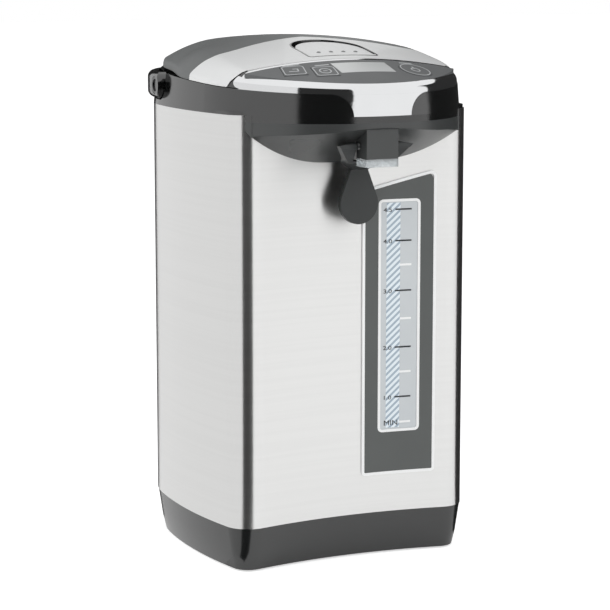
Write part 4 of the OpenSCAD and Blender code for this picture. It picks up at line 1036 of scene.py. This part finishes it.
HALF_MARKS = (221.5 * MM, 181.0 * MM, 140.7 * MM, 102.4 * MM)
MARK_HALF = 0.55 * MM
HALF_MARK_HALF = 1.4 * MARK_HALF
NUMBER_SIZE, NUMBER_STRETCH = 4.3 * MM, 1.35
NUMBER_X, NUMBER_DROP = 29.6 * MM, 0.4 * MM
WORD_SIZE, WORD_STRETCH = 5.6 * MM, 1.15
WORD_X, WORD_Y = 32.7 * MM, 101.9 * MM


def add_gauge_prints():
    slope = (GAUGE_HIGH_RIGHT - GAUGE_HIGH_LEFT) / (GAUGE_RIGHT - GAUGE_LEFT)
    lift = BORDER * math.hypot(1, slope)
    border = outline_drawing([
        (GAUGE_LEFT - BORDER, GAUGE_LOW - BORDER, BORDER_ROUND),
        (GAUGE_RIGHT + BORDER, GAUGE_LOW - BORDER, BORDER_ROUND),
        (GAUGE_RIGHT + BORDER, GAUGE_HIGH_RIGHT + lift + BORDER * slope, BORDER_TOP_ROUND),
        (GAUGE_LEFT - BORDER, GAUGE_HIGH_LEFT + lift - BORDER * slope, BORDER_ROUND)], BORDER + BORDER_LAP)
    add_front_print("gauge_border", border, PLATE_PROUD, BORDER_LAP, "print_white")
    left, right, low, high = WINDOW
    around = box_outline(left - RIM, right + RIM, low - RIM, high + RIM, RIM_ROUND)
    rim = outline_drawing(around, RIM + RIM_LAP)
    add_front_print("window_rim", rim, 2 * INK, PLATE_PROUD, "print_white")
    strip = bmesh.new()
    add_bar(strip, HATCH_LEFT, HATCH_RIGHT, low + HATCH_LOW_GAP, high - HATCH_HIGH_GAP)
    add_front_print("gauge_hatch", strip, INK, WINDOW_PROUD, "hatch")
    halves = bmesh.new()
    for height in HALF_MARKS:
        add_bar(halves, HATCH_RIGHT, TICK_RIGHT, height - HALF_MARK_HALF, height + HALF_MARK_HALF)
    add_front_print("gauge_half_marks", halves, 2 * INK, WINDOW_PROUD, "print_white")
    ticks = bmesh.new()
    drawings = [ticks]
    for words, height in LITRE_MARKS.items():
        add_bar(ticks, TICK_LEFT, TICK_RIGHT, height - MARK_HALF, height + MARK_HALF)
        drawings.append(text_drawing(words, NUMBER_SIZE, NUMBER_STRETCH, NUMBER_X, height - NUMBER_DROP))
    drawings.append(text_drawing("MIN", WORD_SIZE, WORD_STRETCH, WORD_X, WORD_Y))
    marks = join_drawings(drawings)
    add_front_print("gauge_litre_marks", marks, 2 * INK, WINDOW_PROUD, "print_dark")


# The control panel's marks
KEY_HALF = 8.1 * MM
KEY_ROUND = 2.6 * MM
KEY_LINE = 0.7 * MM
# Each key's body, whether a square line runs round it, its rings (y, radius, width) and bars (left, right,
# low, high) in millimetres, its turn in degrees, and its x and its distance ahead of the trim's rear edge
KEY_MARKS = [
    ("left_key", True, [], [(-4, 3.4, -2.6, -1.7), (2.5, 3.4, -1.7, 2.6), (-0.6, 2.5, 1.7, 2.6)], -12,
     (-0.494 * HALF_WIDTH, 14.6 * MM)),
    ("middle_key", True, [(0, 4.6, 0.9)], [(-1.6, 1.6, -0.4, 0.4)], -8, (-0.292 * HALF_WIDTH, 22.6 * MM)),
    ("right_key", False, [(0, 11.2, 0.7), (-0.6, 3.6, 0.9)], [(-0.5, 0.5, 1.6, 5.4)], 0,
     (0.408 * HALF_WIDTH, 21.6 * MM)),
]
# Each label's x, y from the trim's rear edge and length in millimetres
LABELS = [(-49.0, -4.0, 13), (-27.5, -10.6, 11), (41.5, -7.4, 10)]
LABEL_HALF = 0.8


def add_panel_marks():
    for key, square, rings, bars, turn, (x, ahead) in KEY_MARKS:
        marks = bmesh.new()
        for y, radius, width in rings:
            add_ring(marks, y * MM, radius * MM, width * MM)
        for sides in bars:
            add_bar(marks, *(side * MM for side in sides))
        if square:
            around = box_outline(-KEY_HALF, KEY_HALF, -KEY_HALF, KEY_HALF, KEY_ROUND)
            marks = join_drawings([outline_drawing(around, KEY_LINE), marks])
        spun = Matrix.Rotation(math.radians(turn), 3, "Z")
        bmesh.ops.rotate(marks, cent=(0, 0, 0), matrix=spun, verts=marks.verts)
        bmesh.ops.translate(marks, vec=(x, TRIM_Y - ahead, 0), verts=marks.verts)
        add_dome_print(key + "_marks", marks, KEY_PROUD, key, "print_grey")
    labels = bmesh.new()
    for x, y, length in LABELS:
        add_bar(labels, (x - length / 2) * MM, (x + length / 2) * MM, TRIM_Y + (y - LABEL_HALF) * MM,
                TRIM_Y + (y + LABEL_HALF) * MM)
    add_dome_print("panel_labels", labels, 0.0, "pot", "print_grey")


# The latch's grip bumps and the painted shadow of the gap round it
GRIP_PLACES = (-15 * MM, -5 * MM, 5 * MM, 15 * MM)
GRIP_Y = LATCH_Y + 11.8 * MM
GRIP_RADIUS = 1.9 * MM
GRIP_FLATTEN = 0.7
GRIP_SUNK = 1.25 * MM
LATCH_GAP_SHADE = 1.1 * MM
LATCH_GAP_SHADE_LAP = 0.1 * MM
LATCH_GAP_SHADE_ROUND = 3 * MM


def add_grip_bumps():
    bm = bmesh.new()
    for x in GRIP_PLACES:
        made = bmesh.ops.create_uvsphere(bm, u_segments=20, v_segments=10, radius=GRIP_RADIUS)["verts"]
        bmesh.ops.scale(bm, vec=(1, 1, GRIP_FLATTEN), verts=made)
        bmesh.ops.translate(bm, vec=(x, GRIP_Y, dome_at(x, GRIP_Y) - GRIP_SUNK), verts=made)
    shade_smooth(bm, sharp=60)
    add_piece("latch_grips", bm, "grip_grey", "flap")


# Painted shadow: a dark ring on the dome round the latch stands in for the shade in the gap round the sunk
# flap
def add_latch_gap_shade():
    bm, corners = latch_face(LATCH_GAP_SHADE, 0)
    round_corners(bm, corners, LATCH_GAP_SHADE_ROUND, segments=6)
    keep_outline(bm, LATCH_GAP_SHADE + LATCH_GAP_SHADE_LAP)
    add_dome_print("latch_gap_shade", bm, 0.0, "lid", "dark_plastic")


add_gauge_prints()
add_panel_marks()
add_grip_bumps()
add_latch_gap_shade()


# Studio
FLOOR_SIZE = 12.0
FLOOR_SHOWN = 0.6
FLOOR_MIRRORED = 0.22
WORLD_LIGHT = 0.55
FLAG_NEAR = 0.015
FLAG_FAR = 1.6
FLAG_HEIGHT = 1.5
FLAG_LIFT = 0.4
LAMP_AIM = Vector((0, 0, 0.2))


def add_stage(name, bm, material):
    mesh = mesh_from(name, bm)
    mesh.materials.append(material)
    thing = bpy.data.objects.new(name, mesh)
    scene.collection.objects.link(thing)
    return thing


def add_floor():
    bm = bmesh.new()
    bmesh.ops.create_grid(bm, x_segments=8, y_segments=8, size=FLOOR_SIZE)
    material, tree, shader = new_material("studio floor")
    shader.inputs["Base Color"].default_value = (0.9, 0.9, 0.9, 1)
    shader.inputs["Roughness"].default_value = 0.9
    shader.inputs["Emission Color"].default_value = (1, 1, 1, 1)
    path = tree.nodes.new("ShaderNodeLightPath")
    seen = math_node(tree, "MAXIMUM", path.outputs["Is Camera Ray"], path.outputs["Is Transmission Ray"])
    shown = math_node(tree, "MULTIPLY", seen, FLOOR_SHOWN)
    mirrored = math_node(tree, "MULTIPLY", path.outputs["Is Glossy Ray"], FLOOR_MIRRORED)
    tree.links.new(math_node(tree, "MAXIMUM", shown, mirrored), shader.inputs["Emission Strength"])
    add_stage("studio_floor", bm, material)


def add_flag(name, corner, start, end, level):
    """A studio flag that lies on the floor, turns up at its far end and shows only in reflections.

    It covers the bearings from start to end as seen from a corner of the pot, in millimetres. Bearing 0 is
    straight ahead of the tap.
    """
    bm = bmesh.new()
    turn = math.radians(start)
    ahead = Vector((math.sin(turn), -math.cos(turn), 0))
    foot = Vector((*corner, FLAG_LIFT)) * MM
    near = bm.verts.new(foot + ahead * FLAG_NEAR)
    bend = bm.verts.new(foot + ahead * FLAG_FAR)
    top = bm.verts.new(foot + ahead * FLAG_FAR + Vector((0, 0, FLAG_HEIGHT)))
    edges = [bm.edges.new((near, bend)), bm.edges.new((bend, top))]
    bmesh.ops.spin(bm, geom=[near, bend, top] + edges, cent=foot, axis=(0, 0, 1),
                   angle=math.radians(end - start), steps=32)
    material, _, shader = new_material(name + " cloth")
    shader.inputs["Base Color"].default_value = (0, 0, 0, 1)
    shader.inputs["Roughness"].default_value = 1.0
    shader.inputs["Specular IOR Level"].default_value = 0.0
    shader.inputs["Emission Color"].default_value = (level, level, level, 1)
    shader.inputs["Emission Strength"].default_value = 1.0
    flag = add_stage(name, bm, material)
    flag.visible_camera = False
    flag.visible_diffuse = False
    flag.visible_shadow = False
    flag.visible_transmission = False


def add_lamp(name, bearing, height, distance, size, power):
    data = bpy.data.lights.new(name, "AREA")
    data.shape = "SQUARE"
    data.size = size
    data.energy = power
    lamp = bpy.data.objects.new(name, data)
    turn = math.radians(bearing)
    lamp.location = (math.sin(turn) * distance, -math.cos(turn) * distance, height)
    lamp.rotation_euler = (LAMP_AIM - Vector(lamp.location)).to_track_quat("-Z", "Y").to_euler()
    lamp.visible_glossy = False
    scene.collection.objects.link(lamp)


def set_world():
    """White where it is seen or mirrored, and a plain level of light elsewhere."""
    world = bpy.data.worlds.new("studio")
    scene.world = world
    world.use_nodes = True
    tree = world.node_tree
    back = tree.nodes["Background"]
    path = tree.nodes.new("ShaderNodeLightPath")
    seen = math_node(tree, "MAXIMUM", path.outputs["Is Camera Ray"], path.outputs["Is Glossy Ray"])
    seen = math_node(tree, "MAXIMUM", seen, path.outputs["Is Transmission Ray"])
    back.inputs["Color"].default_value = (1, 1, 1, 1)
    tree.links.new(range_node(tree, seen, (0.0, 1.0), (WORLD_LIGHT, 1.0)), back.inputs["Strength"])


scene.view_settings.view_transform = "Standard"
set_world()
add_floor()
add_flag("studio_flag_grey", (-95, -75), -181, -44, level=0.86)
add_flag("studio_flag_front", (-95, -75), -44, 3, level=0.03)
add_flag("studio_flag_right", (98, -75), 72, 152, level=0.03)
add_flag("studio_flag_rear", (-92, 74), 152, 179, level=0.03)
add_lamp("lamp_left", -95, height=1.2, distance=2.0, size=1.2, power=22)
add_lamp("lamp_front", 30, height=1.6, distance=2.2, size=1.4, power=22)
